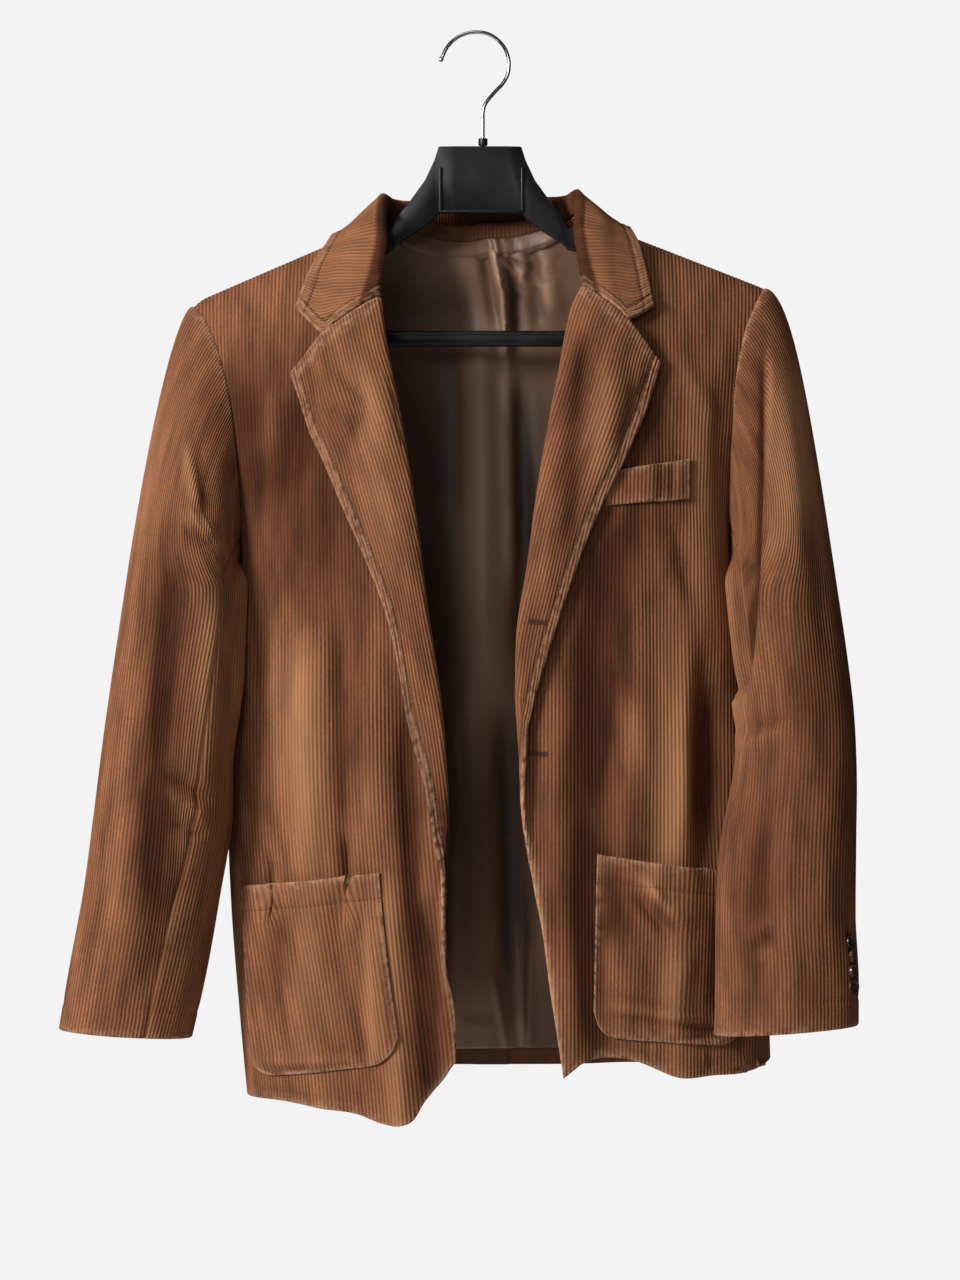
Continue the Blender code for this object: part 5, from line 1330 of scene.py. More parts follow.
def armhole_ring(side, angle):
    """Point of the armhole, lifted on to the body's outside. angle runs 0 top, pi/2 front."""
    angle = np.mod(angle, 2 * math.pi)
    front = angle <= math.pi
    down = np.where(front, angle, 2 * math.pi - angle) / math.pi
    share = ARMHOLE_END * (1 - np.cos(math.pi * down)) / 2
    around = armhole_angle(side, share, front)
    row = row_angle(share)
    return body_plain(side, around, row) + plain_normal(side, around, row) * (LAID - SEWN_CLOSE)


def sleeve_ring(side, angle, height):
    """Round section of the sleeve below its head."""
    outer, inner, middle, depth, turn = read(SLEEVE[side], height)
    across = (outer - inner) / 2 * np.cos(angle)
    x = side * ((outer + inner) / 2 + across)
    y = middle - depth * np.sin(angle) - across * np.sin(np.radians(turn))
    tilt = CUFF_TILT * np.cos(angle) * ease((-600 - height) / 190)
    return np.stack([x, y, height + tilt], -1)


def sleeve_plain(side, angle, share):
    """Sleeve: share 0 at the armhole, CAP_SHARE at the biceps, 1 at the cuff."""
    angle, share = np.broadcast_arrays(np.asarray(angle, float), np.asarray(share, float))
    top, end = SLEEVE[side]["height"][[0, -1]]
    below = np.clip((share - CAP_SHARE) / (1 - CAP_SHARE), 0, 1)
    ring, biceps, under = (sleeve_ring(side, angle, height) for height in (
        top + (end - top) * below, np.full(angle.shape, top), np.full(angle.shape, top - 8.0)))
    start = armhole_ring(side, angle)
    reach = np.linalg.norm(biceps - start, axis=-1, keepdims=True)
    crest = np.maximum(np.cos(angle), 0)[..., None] ** 1.5
    leave = start + crest * HEAD_FULLNESS[side] * np.array((side, 0, -HEAD_FALL))
    arrive = biceps + unit(biceps - under) * reach * HEAD_PULL * (1 + crest)
    t = np.clip(share / CAP_SHARE, 0, 1)[..., None]
    head = (start * (1 - t) ** 3 + leave * 3 * t * (1 - t) ** 2 + arrive * 3 * t * t * (1 - t)
            + biceps * t ** 3)
    return np.where((share < CAP_SHARE)[..., None], head, ring)


def sleeve_fold(side, angle, share):
    round_mm = np.mod(angle, 2 * math.pi) * SLEEVE_RADIUS
    total = np.zeros(np.broadcast(angle, share).shape)
    for share_top, angle_top, share_low, angle_low, width, lift in zip(*SLEEVE_FOLDS[side].values()):
        ends = [(math.radians(turn) * SLEEVE_RADIUS, place)
                for turn, place in ((angle_top, share_top), (angle_low, share_low))]
        total = total + straight_fold(round_mm, share, ends, width, lift, FOLD_FADE, FOLD_FADE)
    spot = sleeve_plain(side, angle, share)
    ahead = on_front(np.mod(angle, 2 * math.pi))
    total = total + ahead * soft_lines(SLEEVE_CREASES[side], np.abs(spot[..., 0]), spot[..., 2])
    if side == LEFT:
        off, inside = tuck_side(spot)
        shape = ((1 - inside) * TUCK_OVER * np.exp(-np.maximum(off, 0) / TUCK_OUT)
                 - inside * TUCK_UNDER * np.exp(np.minimum(off, 0) / TUCK_IN))
        total = total + ahead * shape * between(spot[..., 2], *TUCK_HEIGHTS)
    return total


def on_front(angle):
    """1 on the front half of a sleeve, 0 behind; angles in radians within one turn."""
    return between(np.degrees(angle), *SLEEVE_FRONT)


def tuck_side(spot):
    """Distance out from the sleeve's tuck, and 1 inside it, 0 outside."""
    off = np.abs(spot[..., 0]) - read(TUCK, spot[..., 2])
    return off, 0.5 - 0.5 * np.tanh(off / TUCK_SHARP)


def sleeve(side, angle, share):
    normal = normals_of(lambda a, s: sleeve_plain(side, a, s), angle, share, 1.0, side)
    return sleeve_plain(side, angle, share) + normal * sleeve_fold(side, angle, share)[..., None]


def sleeve_normal(side, angle, share):
    return normals_of(lambda a, s: sleeve(side, a, s), angle, share, 1.0, side)


HEAD_ROWS = 32
ARM_ROWS = 64
TOP_SLEEVE_COLUMNS = 110
UNDER_SLEEVE_COLUMNS = 44
TOP_SEAMS = (("back", -1), ("front", 0))        # seams of each panel, and their turns round
UNDER_SEAMS = (("front", 0), ("back", 0))
CUFF_STITCH = 21.0
SLEEVE_LENGTH = 590.0  # from the armhole's top to the cuff, used to space the rows at the cuff


def seam_angle(side, seam, share):
    at_armhole, at_cuff = SLEEVE_SEAMS[side][seam]
    return np.radians(at_armhole + (at_cuff - at_armhole) * ease(share))


def sleeve_shares():
    cuff = np.array([CUFF_STITCH + 1.5, CUFF_STITCH, CUFF_STITCH - 1.5, *HEM_ROWS]) / SLEEVE_LENGTH
    return np.unique(np.concatenate([np.linspace(0, CAP_SHARE, HEAD_ROWS + 1), 1 - cuff,
                                     np.linspace(CAP_SHARE, 1, ARM_ROWS + 1)]))


def smooth_down(values, reach):
    """Values of a grid, evened out along its columns over so many rows each way."""
    weights = np.exp(-np.linspace(-2, 2, 2 * reach + 1) ** 2)
    padded = np.pad(values, ((reach, reach), (0, 0)), mode="edge")
    return sum(w * padded[k:k + len(values)] for k, w in enumerate(weights)) / weights.sum()


def sleeve_panel(kind, side, seams, columns, counted_from):
    """A sleeve's panel between two seams, each a name and its turns round."""
    name = f"{kind}_{SIDE_NAMES[side]}"
    share = sleeve_shares()
    start, end = (seam_angle(side, seam, share) + 2 * math.pi * turns for seam, turns in seams)
    angle = start[:, None] + (end - start)[:, None] * np.linspace(0, 1, columns + 1)
    shares = np.repeat(share[:, None], columns + 1, 1)
    points, normals = sleeve(side, angle, shares), sleeve_normal(side, angle, shares)
    plain = sleeve_plain(side, angle, shares)
    arc = row_arcs(plain)
    counted = smooth_down(arc - crossing(angle, arc, np.full(len(share), counted_from))[:, None], 9)
    if kind == "top_sleeve":
        # The wales inside the fold lean: more and more of them turn in under it going down.
        height = plain[..., 2]
        if side == LEFT:
            turned = tuck_side(plain)[1] * TUCK_TURNED * below(height, *TUCK_GATHERED)
        else:
            inside = below(np.abs(plain[..., 0]), *CREASE_INSIDE)
            turned = inside * CREASE_TURNED * below(height, *CREASE_GATHERED)
        counted = counted + turned * on_front(np.maximum(angle, 0))

    return cloth_wall(name, points, normals, counted,
                      dict(low=SEWN, high=SEWN, top=ARMHOLE_EDGE, bottom=FOLDED),
                      relief=lambda middle, down: sewn_line(middle, down[-1] - down, CUFF_STITCH),
                      lightness=painted_light_and_shade(name, points, sleeve_fold(side, angle, shares)))


def make_sleeve(side):
    return (sleeve_panel("top_sleeve", side, TOP_SEAMS, TOP_SLEEVE_COLUMNS, 0.3),
            sleeve_panel("under_sleeve", side, UNDER_SEAMS, UNDER_SLEEVE_COLUMNS, 4.0))


# ---------------------------------------------------------------- collar
COLLAR_PLACES = np.unique(np.concatenate([np.linspace(0, 1.4, 12), np.linspace(1.4, 2.4, 34),
                                          np.linspace(2.4, 4, 34)]))
COLLAR_ACROSS = 44
COLLAR_STITCH = 10.0
COLLAR_GRAIN_ROW = 26  # the row along which the wales are counted
COLLAR_LEAN = 0.3
STAND_ROW, STAND_SHADE, FALL_LIGHT = 13, 0.9, 0.25     # painted shade on the stand down to this row, and painted light on the fall
FALL_SHARES = (0.3, 0.55, 0.8, 1.0)


def collar_section(side, place):
    """Key points across the collar, from the neck seam over the fold to the outer edge."""
    seam_out, seam_share, edge_out, edge_share, rise, lean = read(COLLAR[side], place)
    seam = on_panel(side, seam_share > 0, seam_out, np.abs(seam_share), SEAM_LIFT)
    away = unit(seam * (1, 1, 0))
    seam = seam - away * STAND_INSET
    up = np.array((0, 0, 1.0))
    crown = seam + up * rise + away * lean
    small = min(CROWN, 0.8 * rise)
    before, after = crown - (away + up) * small, crown + (away - up) * small
    falls = []
    for t in FALL_SHARES:
        share = seam_share + (edge_share - seam_share) * t
        lift = FALL_LIFT + (rise + 2 - FALL_LIFT) * (1 - t) ** 2
        falls.append(on_panel(side, share > 0, seam_out + (edge_out - seam_out) * t, np.abs(share), lift))
    return np.stack([seam, (seam + before) / 2, before, crown, after, *falls])


def collar_end(side):
    """Last section, along the gorge: it carries on the lapel's roll and its upper edge."""
    points, normals = FRONTS[side]
    up = unit(points[GORGE_ROWS] - points[GORGE_ROWS + 1])
    row = points[GORGE_ROWS] - normals[GORGE_ROWS] * LAID / 2 + up
    roll = [row[PANEL_COLUMNS + ROLL_COLUMNS * k // 4] for k in range(1, 5)]
    half, notch = (row[PANEL_COLUMNS + ROLL_COLUMNS + flap] for flap in (INNER_FLAP // 2, INNER_FLAP))
    out, height = (np.array(value) for value in LAPEL[side]["corner"])
    corner = on_body(side, out, share_at(side, out, height), np.array(True), np.array(2 * ROLL_RADIUS + 2))
    return np.stack([roll[0], (roll[0] + roll[1]) / 2, *roll[1:], half, (half + notch) / 2, notch, corner])


def smooth_across(keys, count):
    """A section's key points drawn as a smooth line of evenly spaced points."""
    order = np.arange(len(keys))
    fine = np.stack([curve(np.linspace(0, len(keys) - 1, 240), order, line) for line in keys.T], -1)
    arc = row_arcs(fine[None])[0]
    return line_at(np.linspace(0, arc[-1], count), arc, fine)


def collar_half(side):
    end = collar_end(side)
    return np.stack([smooth_across(collar_section(side, place) * (1 - ease(place - 3)) + end * ease(place - 3),
                                   COLLAR_ACROSS + 1) for place in COLLAR_PLACES])


STRIP_HEIGHTS = (18.6, 16.8, 15.2, 13.6, 12.0, 10.5, 9.0, 7.2, 5.4, 3.6, 1.8)      # up the collar's stand
STRIP_END = 8          # row of these where the gathers end and plain lining goes on
STRIP_SHARES = (0.003, 0.006, 0.009, 0.012, 0.015)                     # and down the lining
STRIP_REACH = 1.6      # place round the collar where the strip ends
STRIP_CLEAR = 0.9      # space behind it on the stand
SHINE_ABOVE, PUCKERS_ABOVE = 14.0, 9.0     # the yoke repeats the lining's painted sheen and shade, and its folds, this much higher


def make_neck_gathers(collar_points, collar_normals):
    """The gathered strip that covers the neck's seam, from the collar's stand down on to the lining."""
    middle = len(COLLAR_PLACES) - 1
    reach = int(np.argmax(COLLAR_PLACES > STRIP_REACH))
    columns = range(middle - reach, middle + reach + 1)
    rise = row_arcs(collar_points[:, middle][None])[0]
    inward = -1 if collar_normals[4, middle, 1] > 0 else 1
    points, normals = (np.stack([line_at(STRIP_HEIGHTS, rise, grid[:, c]) for c in columns], 1)
                       for grid in (collar_points, collar_normals * inward))
    points = points + normals * (COLLAR_CLOTH / 2 + LINING / 2 + SEAM + STRIP_CLEAR)
    below = []
    for share in STRIP_SHARES:
        # The lower edge goes in under the lining.
        clear = np.interp(share, (0.004, 0.012, 0.015), (2.6, 1.4, -1.2))
        lift = -(LINED + 0.75 * LINING_EASE + LINING + clear)
        below.append([(x, *on_panel(LEFT if x > 0 else RIGHT, False, abs(x), share, lift)[1:])
                      for x in points[-1, :, 0]])
    points = np.concatenate([points, below])
    normals = np.concatenate([normals, np.repeat(normals[-1:], len(below), 0)])
    arc = row_arcs(points)
    counted = arc - arc[:, reach:reach + 1]
    # The yoke's painted sheen and shade, from the lining's.
    shine = np.clip(soft_lines(LINING_SHINE, points[..., 0], points[..., 2] - SHINE_ABOVE), -1, 1)

    def gathers(middle, down):
        x = middle[..., 0]
        fine = np.sin(2 * math.pi * x / 3.2 + 1.3 * np.sin(x / 8.0)) * (1 + 0.4 * np.sin(x / 5.0))
        return 0.34 * fine * ease(down / 4) - 0.6 * groove(down, 10.4, 1.0)

    def puckers(middle, down):
        return 0.5 * np.maximum(lining_folds(middle[..., 0], middle[..., 2] - PUCKERS_ABOVE), -0.5)

    return [cloth_wall(name, points[rows], normals[rows], counted[rows], ALL_FOLDED, thickness=LINING,
                       ribs=(0.0,), step=0.8, merged=3, relief=relief, faced=material, lightness=shine[rows])
            for name, rows, relief, material in (
                ("lining_neck", slice(0, STRIP_END + 1), gathers, WOVEN_BACK),
                ("lining_yoke", slice(STRIP_END, None), puckers, SATIN))]


def make_collar():
    points = np.concatenate([collar_half(RIGHT)[::-1], collar_half(LEFT)[1:]]).swapaxes(0, 1)
    normals = grid_normals(points)
    middle = len(COLLAR_PLACES) - 1
    if normals[-1, middle, 1] < 0:
        normals = -normals
    arc = row_arcs(points)
    arc -= arc[:, middle:middle + 1]
    # The wales run straight across the collar's fall rather than square to its edge.
    counted = arc[COLLAR_GRAIN_ROW] * (1 - COLLAR_LEAN) + arc * COLLAR_LEAN
    # Painted shade on the collar's stand and painted light on its fall.
    on_stand = ease((STAND_ROW - np.arange(COLLAR_ACROSS + 1)) / 3)[:, None]
    collar = cloth_wall("collar", points, normals, counted, {**ALL_FOLDED, "top": SEWN}, thickness=COLLAR_CLOTH,
                        stitched=COLLAR_STITCH, lightness=FALL_LIGHT - (STAND_SHADE + FALL_LIGHT) * on_stand)
    return collar, make_neck_gathers(points, normals), (points, normals)


# ---------------------------------------------------------------- pockets
POCKET_COLUMNS, WELT_COLUMNS = 44, 30
POCKET_ROWS = 46
BAND = 20.0            # depth of the pocket's turned-in top
SEWN_REACH = 12.0      # a patch's folds fade over this width at its sewn edges
LAID_ON = LAID + 1.1   # a turned-in edge holds a patch a little off its panel
EDGE_STITCH = 2.6      # a patch is sewn on this far in from its edge
PATCH_LEAN = {RIGHT: 0.14, LEFT: 0.02}     # how far the wales lean outwards going down


def patch(side, corners, columns, rows, lift, bulge, round_corner):
    """A panel laid on the front between four corners, and the distance across its wales."""
    across, down = np.linspace(0, 1, columns + 1), rows[:, None]
    ends = np.array(corners, float)
    upper, lower = (start + (end - start) * across[:, None] for start, end in (ends[:2], ends[2:]))
    flat = upper + (lower - upper) * down[..., None]
    from_side = np.minimum(across, 1 - across) * abs(ends[3][0] - ends[2][0])
    lack = np.clip(1 - from_side / max(round_corner, 1e-6), 0, 1)
    flat[..., 1] += round_corner * (1 - np.sqrt(1 - lack ** 2)) * down ** 2
    out, height = flat[..., 0], flat[..., 1]
    swell = bulge * np.sin(math.pi * across) ** 0.8 * np.cos(down * math.pi / 2) ** 1.5
    held_down = np.minimum(1, np.minimum(from_side, 400 * (1 - down)) / SEWN_REACH)
    swell = swell + pocket_folds(side, out, height) * held_down
    # The mouth of a pocket bridges the troughs of the front behind it.
    swell = swell - np.minimum(fold_height(side, out, height, True), 0) * ease(1 - 5 * down) * (bulge > 0)
    middle = out[0, columns // 2] - PATCH_LEAN[side] * (height[0, columns // 2] - height)
    wales = (out - middle) * np.sign(ends[1][0] - ends[0][0])
    return on_panel(side, True, out, share_at(side, out, height), lift + swell), wales


# Folds across the patches on each front: place of each end, half width, and height.
POCKET_FOLDS = {
    RIGHT: table("out_top z_top out_low z_low width height",
                 (166, -640, 168, -720, 8, 4), (135, -650, 128, -800, 14, 3), (103, -640, 100, -720, 7, 4),
                 (84, -670, 76, -850, 7, 3), (150, -690, 160, -780, 9, -3), (112, -680, 108, -760, 8, -3),
                 (95, -760, 88, -850, 7, -3), (70, -823, 195, -829, 3.2, -2.2),
                 (76, -815, 186, -821, 3.2, 1.8)),
    LEFT: table("out_top z_top out_low z_low width height",
                (122, -668, 158, -712, 5, 5), (118, -684, 150, -722, 5, -4), (140, -655, 138, -700, 8, 3),
                (190, -690, 186, -790, 8, -4), (158, -730, 150, -800, 8, 4), (110, -700, 106, -800, 12, 3),
                (96, -780, 200, -797, 3.2, -2.8), (92, -773, 190, -789, 3.4, 2.4),
                (140, -804, 230, -792, 3.2, -2.4),
                (100, -764, 160, -778, 3.4, -2.0),
                (151, -340, 149, -390, 2.6, -1.1), (157, -340, 156, -390, 2.6, 0.9),
                (134, -340, 133, -390, 4, 0.8),
                (142, -340, 141, -390, 3, -0.6)),
}


def pocket_folds(side, out, height):
    return soft_lines(POCKET_FOLDS[side], out, height)


def patch_rows(long, line):
    """Shares down a patch, close together at its ends and at a line of stitching."""
    close = np.array([0.6, 1.6, 3.2, line - 1.5, line, line + 1.5, long - 3.2, long - 1.6, long - 0.6]) / long
    return np.unique(np.concatenate([np.linspace(0, 1, POCKET_ROWS + 1), close]))


def laid_patch(name, side, corners, rows, columns, bulge=0.0, round_corner=0.0, band=0.0):
    points, wales = patch(side, corners, columns, rows, LAID_ON, bulge, round_corner)
    normals = grid_normals(points)
    if normals[..., 1].mean() > 0:
        normals = -normals

    out, height = np.abs(points[..., 0]), points[..., 2]
    lifted = pocket_folds(side, out, height) + 0.5 * fold_height(side, out, height, True)
    relief = (lambda middle, down: sewn_line(middle, down, band)) if band else None
    piece = cloth_wall(name, points, normals, wales, ALL_FOLDED, relief=relief,
                       lightness=painted_light_and_shade(name, points, lifted))
    grid = (points, normals)
    sides = ((grid, slice(2, -6)), ([part[:, ::-1] for part in grid], slice(2, -6)),
    (transposed(*grid), slice(4, -4)))
    seams = [along(*from_edge(*part, EDGE_STITCH, GROOVE_FLOOR + 0.2, chosen)) for part, chosen in sides]
    if band:
        seams.append(along(*from_edge(*transposed(points[::-1], normals[::-1]), band, GROOVE_FLOOR)))
    return piece, seams


def make_pocket(side):
    corners = POCKET[side]
    rows = patch_rows(abs(corners[2][1] - corners[0][1]), BAND)
    return laid_patch("pocket_" + SIDE_NAMES[side], side, corners, rows, POCKET_COLUMNS, POCKET_BULGE,
                      POCKET_ROUND, BAND)


def make_welt():
    rows = np.unique(np.concatenate([np.linspace(0, 1, 7), (0.02, 0.06, 0.94, 0.98)]))
    return laid_patch("chest_welt", LEFT, WELT, rows, WELT_COLUMNS)


# ---------------------------------------------------------------- handing over
def carry(piece, nodes):
    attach(piece, "root")
    if nodes:
        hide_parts(*nodes)


# ---------------------------------------------------------------- stitches
THREAD = 0.42          # half thickness of the sewing thread, drawn thicker than real so that it shows
STITCH = 2.3           # length of one stitch seen
FINE_THREAD, FINE_STITCH = 0.32, 2.2       # on the patches and cuffs
PITCH = 3.3            # from one stitch to the next
SIDES = 5


def along(points, normals):
    """Places and directions of the stitches along a line of points."""
    arc = row_arcs(points[None])[0]
    wanted = np.arange(1.5, arc[-1] - 1.0, PITCH)
    place, up = (line_at(wanted, arc, values) for values in (points, normals))
    return place, unit(line_at(wanted + 0.5, arc, points) - place), up


def stitches(name, seams, material, length=STITCH, thread=THREAD):
    """Threads lying on the cloth: each is a short rounded rod, fuller in its middle."""
    place, ahead, up = (np.concatenate([seam[k] for seam in seams]) for k in range(3))
    up = unit(up - ahead * np.einsum("ij,ij->i", up, ahead)[:, None])
    side = np.cross(ahead, up)
    rings = [place + ahead * reach * length / 2 + thread * size * (math.cos(t) * side + math.sin(t) * up)
             for reach, size in ((-0.72, 0.8), (0.0, 1.15), (0.72, 0.8))
             for t in np.arange(SIDES) * 2 * math.pi / SIDES]
    tips = [place + ahead * way * length / 2 - up * thread * 0.6 for way in (-1, 1)]
    points = np.stack([*rings, *tips], 1)
    faces = []
    for k in range(SIDES):
        after = (k + 1) % SIDES
        faces += [(3 * SIDES, after, k), (k, after, SIDES + after, SIDES + k),
                  (SIDES + k, SIDES + after, 2 * SIDES + after, 2 * SIDES + k),
                  (2 * SIDES + k, 2 * SIDES + after, 3 * SIDES + 1)]
    every = [tuple(v + n * points.shape[1] for v in face) for n in range(len(points)) for face in faces]
    piece = mesh_object(name, points.reshape(-1, 3), every, [material])
    face_outwards(piece.data)
    return piece


def from_edge(points, normals, distance, lift, rows=slice(None)):
    """Line at a distance in from the grid's last column."""
    arc = row_arcs(points)
    places, ups = (rows_at(arc[:, -1:] - distance, arc, grid)[rows, 0] for grid in (points, normals))
    return places + unit(ups) * lift, unit(ups)


def transposed(*grids):
    """Grids with their rows and columns exchanged."""
    return [grid.swapaxes(0, 1) for grid in grids]


GROOVE_FLOOR = CLOTH / 2 - 0.45    # stitches lie in their groove, this far above the cloth's middle


def front_seams(side):
    """Stitches round the lapel and down the front edge."""
    points, normals = FRONTS[side]
    face, up = points - normals * LAID, -normals
    edge_line = from_edge(face, up, LAPEL_STITCH, GROOVE_FLOOR, slice(GORGE_ROWS + 2, -6))
    below = slice(GORGE_ROWS, GORGE_ROWS + 12)
    flap = slice(PANEL_COLUMNS + ROLL_COLUMNS + INNER_FLAP - 1, -8)
    top = [grid[:, ::-1] for grid in transposed(face[below, flap], up[below, flap])]
    return [along(*edge_line), along(*from_edge(*top, LAPEL_STITCH, GROOVE_FLOOR))]


def collar_seams(points, normals):
    """Stitches along the collar's outer edge and its two ends."""
    lift = COLLAR_CLOTH / 2 - 0.35
    edge = from_edge(*transposed(points, normals), COLLAR_STITCH, lift, slice(5, -5))
    ends = [from_edge(points[:, ::step], normals[:, ::step], COLLAR_STITCH, lift, slice(24, -6))
            for step in (1, -1)]
    return [along(*line) for line in (edge, *ends)]


def cuff_seam(side, seams):
    """Stitches round the part of a cuff between two seams, each a name and its turns round."""
    share = 1 - CUFF_STITCH / SLEEVE_LENGTH
    first, last = (float(seam_angle(side, seam, share)) + 2 * math.pi * turns for seam, turns in seams)
    angle = np.linspace(first + 0.06, last - 0.06, 90)
    shares = np.full(angle.shape, share)
    up = sleeve_normal(side, angle, shares)
    return along(sleeve(side, angle, shares) + up * GROOVE_FLOOR, up)


# Buttonholes: the surface, place out and height, length, and turn from level in degrees.
BUTTONHOLES = (("facing", 47.0, -471.5, 13, -3), ("facing", 126.0, -286.0, 19, 70),
               ("front", 44.5, -579.0, 17, -3))
LIP_PITCH, LIP_HEIGHT = 0.9, 0.35          # of the stitches along a lip


def buttonhole(surface, out, height, length, turn):
    """Close stitches over both lips of a slit on the wearer's left, in the front or in its lapel."""
    points, normals = FRONTS[LEFT]
    if surface == "facing":
        flap = slice(PANEL_COLUMNS + ROLL_COLUMNS // 2, None)
        points, normals = (points - normals * LAID)[:, flap], -normals[:, flap]
    else:
        points, normals = points[:, :PANEL_COLUMNS], normals[:, :PANEL_COLUMNS]
    away = (np.abs(points[..., 0]) - out) ** 2 + (points[..., 2] - height) ** 2
    spot = np.unravel_index(np.argmin(away), away.shape)
    up = unit(normals[spot])
    level = np.array((LEFT * math.cos(math.radians(turn)), 0, math.sin(math.radians(turn))))
    level = unit(level - up * (level @ up))
    down = np.cross(level, up)
    middle = points[spot] + up * (CLOTH / 2 + LIP_HEIGHT)
    places = middle + level * np.arange(-length / 2, length / 2, LIP_PITCH)[:, None]
    ways = [np.repeat(way[None], len(places), 0) for way in (down, up)]
    return [(places + down * lip, *ways) for lip in (-1.0, 1.0)]


# ---------------------------------------------------------------- hanger
def only(*pieces):
    """Leaves just these pieces selected, the last one active."""
    bpy.ops.object.select_all(action="DESELECT")
    for piece in pieces:
        piece.select_set(True)
        bpy.context.view_layer.objects.active = piece


@contextlib.contextmanager
def editing(piece):
    """A piece in edit mode, all of it selected."""
    only(piece)
    bpy.ops.object.mode_set(mode="EDIT")
    bpy.ops.mesh.select_all(action="SELECT")
    yield
    bpy.ops.object.mode_set(mode="OBJECT")


def fix_place(piece):
    only(piece)
    bpy.ops.object.transform_apply(location=True, rotation=True, scale=True)


def solid_disc(radius, depth, x, z):
    """An upright cylinder, in millimetres."""
    bpy.ops.mesh.primitive_cylinder_add(vertices=40, radius=radius * METRES, depth=depth * METRES,
                                        location=(x * METRES, 0, z * METRES))
    return bpy.context.object


def draw_in(width, depth=0.0, **settings):
    """Insets the faces selected by a width and a depth in millimetres."""
    bpy.ops.mesh.inset(thickness=width * METRES, depth=depth * METRES, **settings)


def shift(x, y, z):
    bpy.ops.transform.translate(value=(x * METRES, y * METRES, z * METRES))


def pick(piece, kind, chosen):
    """Selects the vertices or faces of a piece being edited that are chosen by place or normal."""
    bpy.ops.mesh.select_all(action="DESELECT")
    bpy.context.tool_settings.mesh_select_mode = (kind == "verts", False, kind == "faces")
    shape = bmesh.from_edit_mesh(piece.data)
    for part in getattr(shape, kind):
        part.select_set(bool(chosen(part)))
    shape.select_flush_mode()
    bmesh.update_edit_mesh(piece.data)


def settle(piece, name, node, material, smooth=40):
    """Applies a piece's place, smooths it and hands it over."""
    fix_place(piece)
    bpy.ops.object.shade_smooth_by_angle(angle=math.radians(smooth))
    piece.name = name
    piece.data.materials.clear()
    piece.data.materials.append(material)
    carry(piece, [node])


def apply_bevel(piece, width, segments, angle=35):
    only(piece)
    bevel = piece.modifiers.new("edges", "BEVEL")
    bevel.width, bevel.segments = width * METRES, segments
    bevel.limit_method, bevel.angle_limit = "ANGLE", math.radians(angle)
    bpy.ops.object.modifier_apply(modifier=bevel.name)


STEEPEST = 0.95        # share of the body's depth up to which its rounded top is followed
LEAST_ARM = 4.0        # height of the arm's sides below its rounded top, at least


def cloth_drop(out, depth):
    """How far below the shoulder line the lining's inside is, at a depth from that line."""
    if out < NECK_HALF - 3:
        return depth / 4
    squareness = (1 - (out / WIDTH[RIGHT]["half"][0]) ** SQUARENESS) ** (1 / SQUARENESS)
    half_depth = DEPTH["back"][0] * squareness
    reach = min(depth / half_depth, STEEPEST)
    rounded = math.sqrt(1 - reach ** 2)
    fall = NOMINAL_LENGTH * SHOULDER_SHARE
    slope = fall * reach / (half_depth * rounded)
    below = LINED + LINING / 2 + LINING_EASE + HANGER_SPACE
    return fall * (1 - rounded) + below * math.sqrt(1 + slope ** 2)


def arm_stations(side):
    """Distance out, top, bottom and half depth of the hanger's sections on one side."""
    rows = list(zip(*HANGER.values()))
    for out, height, half_depth in zip(*HANGER_ARM.values()):
        top = float(shoulder_height(side, np.array(out))) - cloth_drop(out, 0)
        crown = cloth_drop(out, half_depth) - cloth_drop(out, 0)
        rows.append((out, top, top - max(height, crown + LEAST_ARM), half_depth))
    return rows


RIB_FRONT, RIB_DEPTH = 4.3, 2.2        # how far before the plate's middle a rib lies, and its depth
# Ribs on the plate: place across, lower and upper end, width.
PLATE_RIBS = ((-31.6, -146.2, -110.4, 2.6), (34.0, -146.2, -110.4, 2.6), (1.2, -146.6, -144.4, 66.0))


def shape_hanger():
    """The moulded hanger: a plate with raised ribs on its face, and two arms following the shoulders."""
    stations = [(-out, *rest) for out, *rest in reversed(arm_stations(RIGHT))]
    stations += arm_stations(LEFT)[1:]
    last = stations[0][0]
    bpy.ops.mesh.primitive_circle_add(vertices=10, radius=1.0, fill_type="NGON",
                                      location=(last * METRES, 0, 0), rotation=(0, math.pi / 2, 0))
    piece = bpy.context.object
    fix_place(piece)
    with editing(piece):
        for x, top, bottom, depth in stations:
            if x != last:
                pick(piece, "faces", lambda face: abs(face.calc_center_median().x - last * METRES) < 1e-6
                     and len(face.verts) == 10)
                bpy.ops.mesh.extrude_region_move(TRANSFORM_OT_translate={"value": ((x - last) * METRES, 0, 0)})
            place_ring(piece, x, section_half(x, top, bottom, depth))
            last = x
        bpy.ops.mesh.select_all(action="SELECT")
        bpy.ops.mesh.normals_make_consistent(inside=False)
    apply_bevel(piece, 0.7, 2)
    only(*[moulded_rib(*row) for row in PLATE_RIBS], piece)
    bpy.ops.object.join()
    settle(piece, "moulded_hanger", "hanger_body", PLASTIC)


def section_half(x, top, bottom, depth):
    """Front half of the hanger's section: depth and height of five corners, from below."""
    low_crown, crown, high_crown = (max(cloth_drop(abs(x), share * depth) - cloth_drop(abs(x), 0), 0)
                                    for share in (1, 0.6, 0.25))
    return [(share * depth, height) for share, height in (
        (0.8, bottom), (1, bottom + 2), (1, top - low_crown), (0.6, top - crown), (0.25, top - high_crown))]


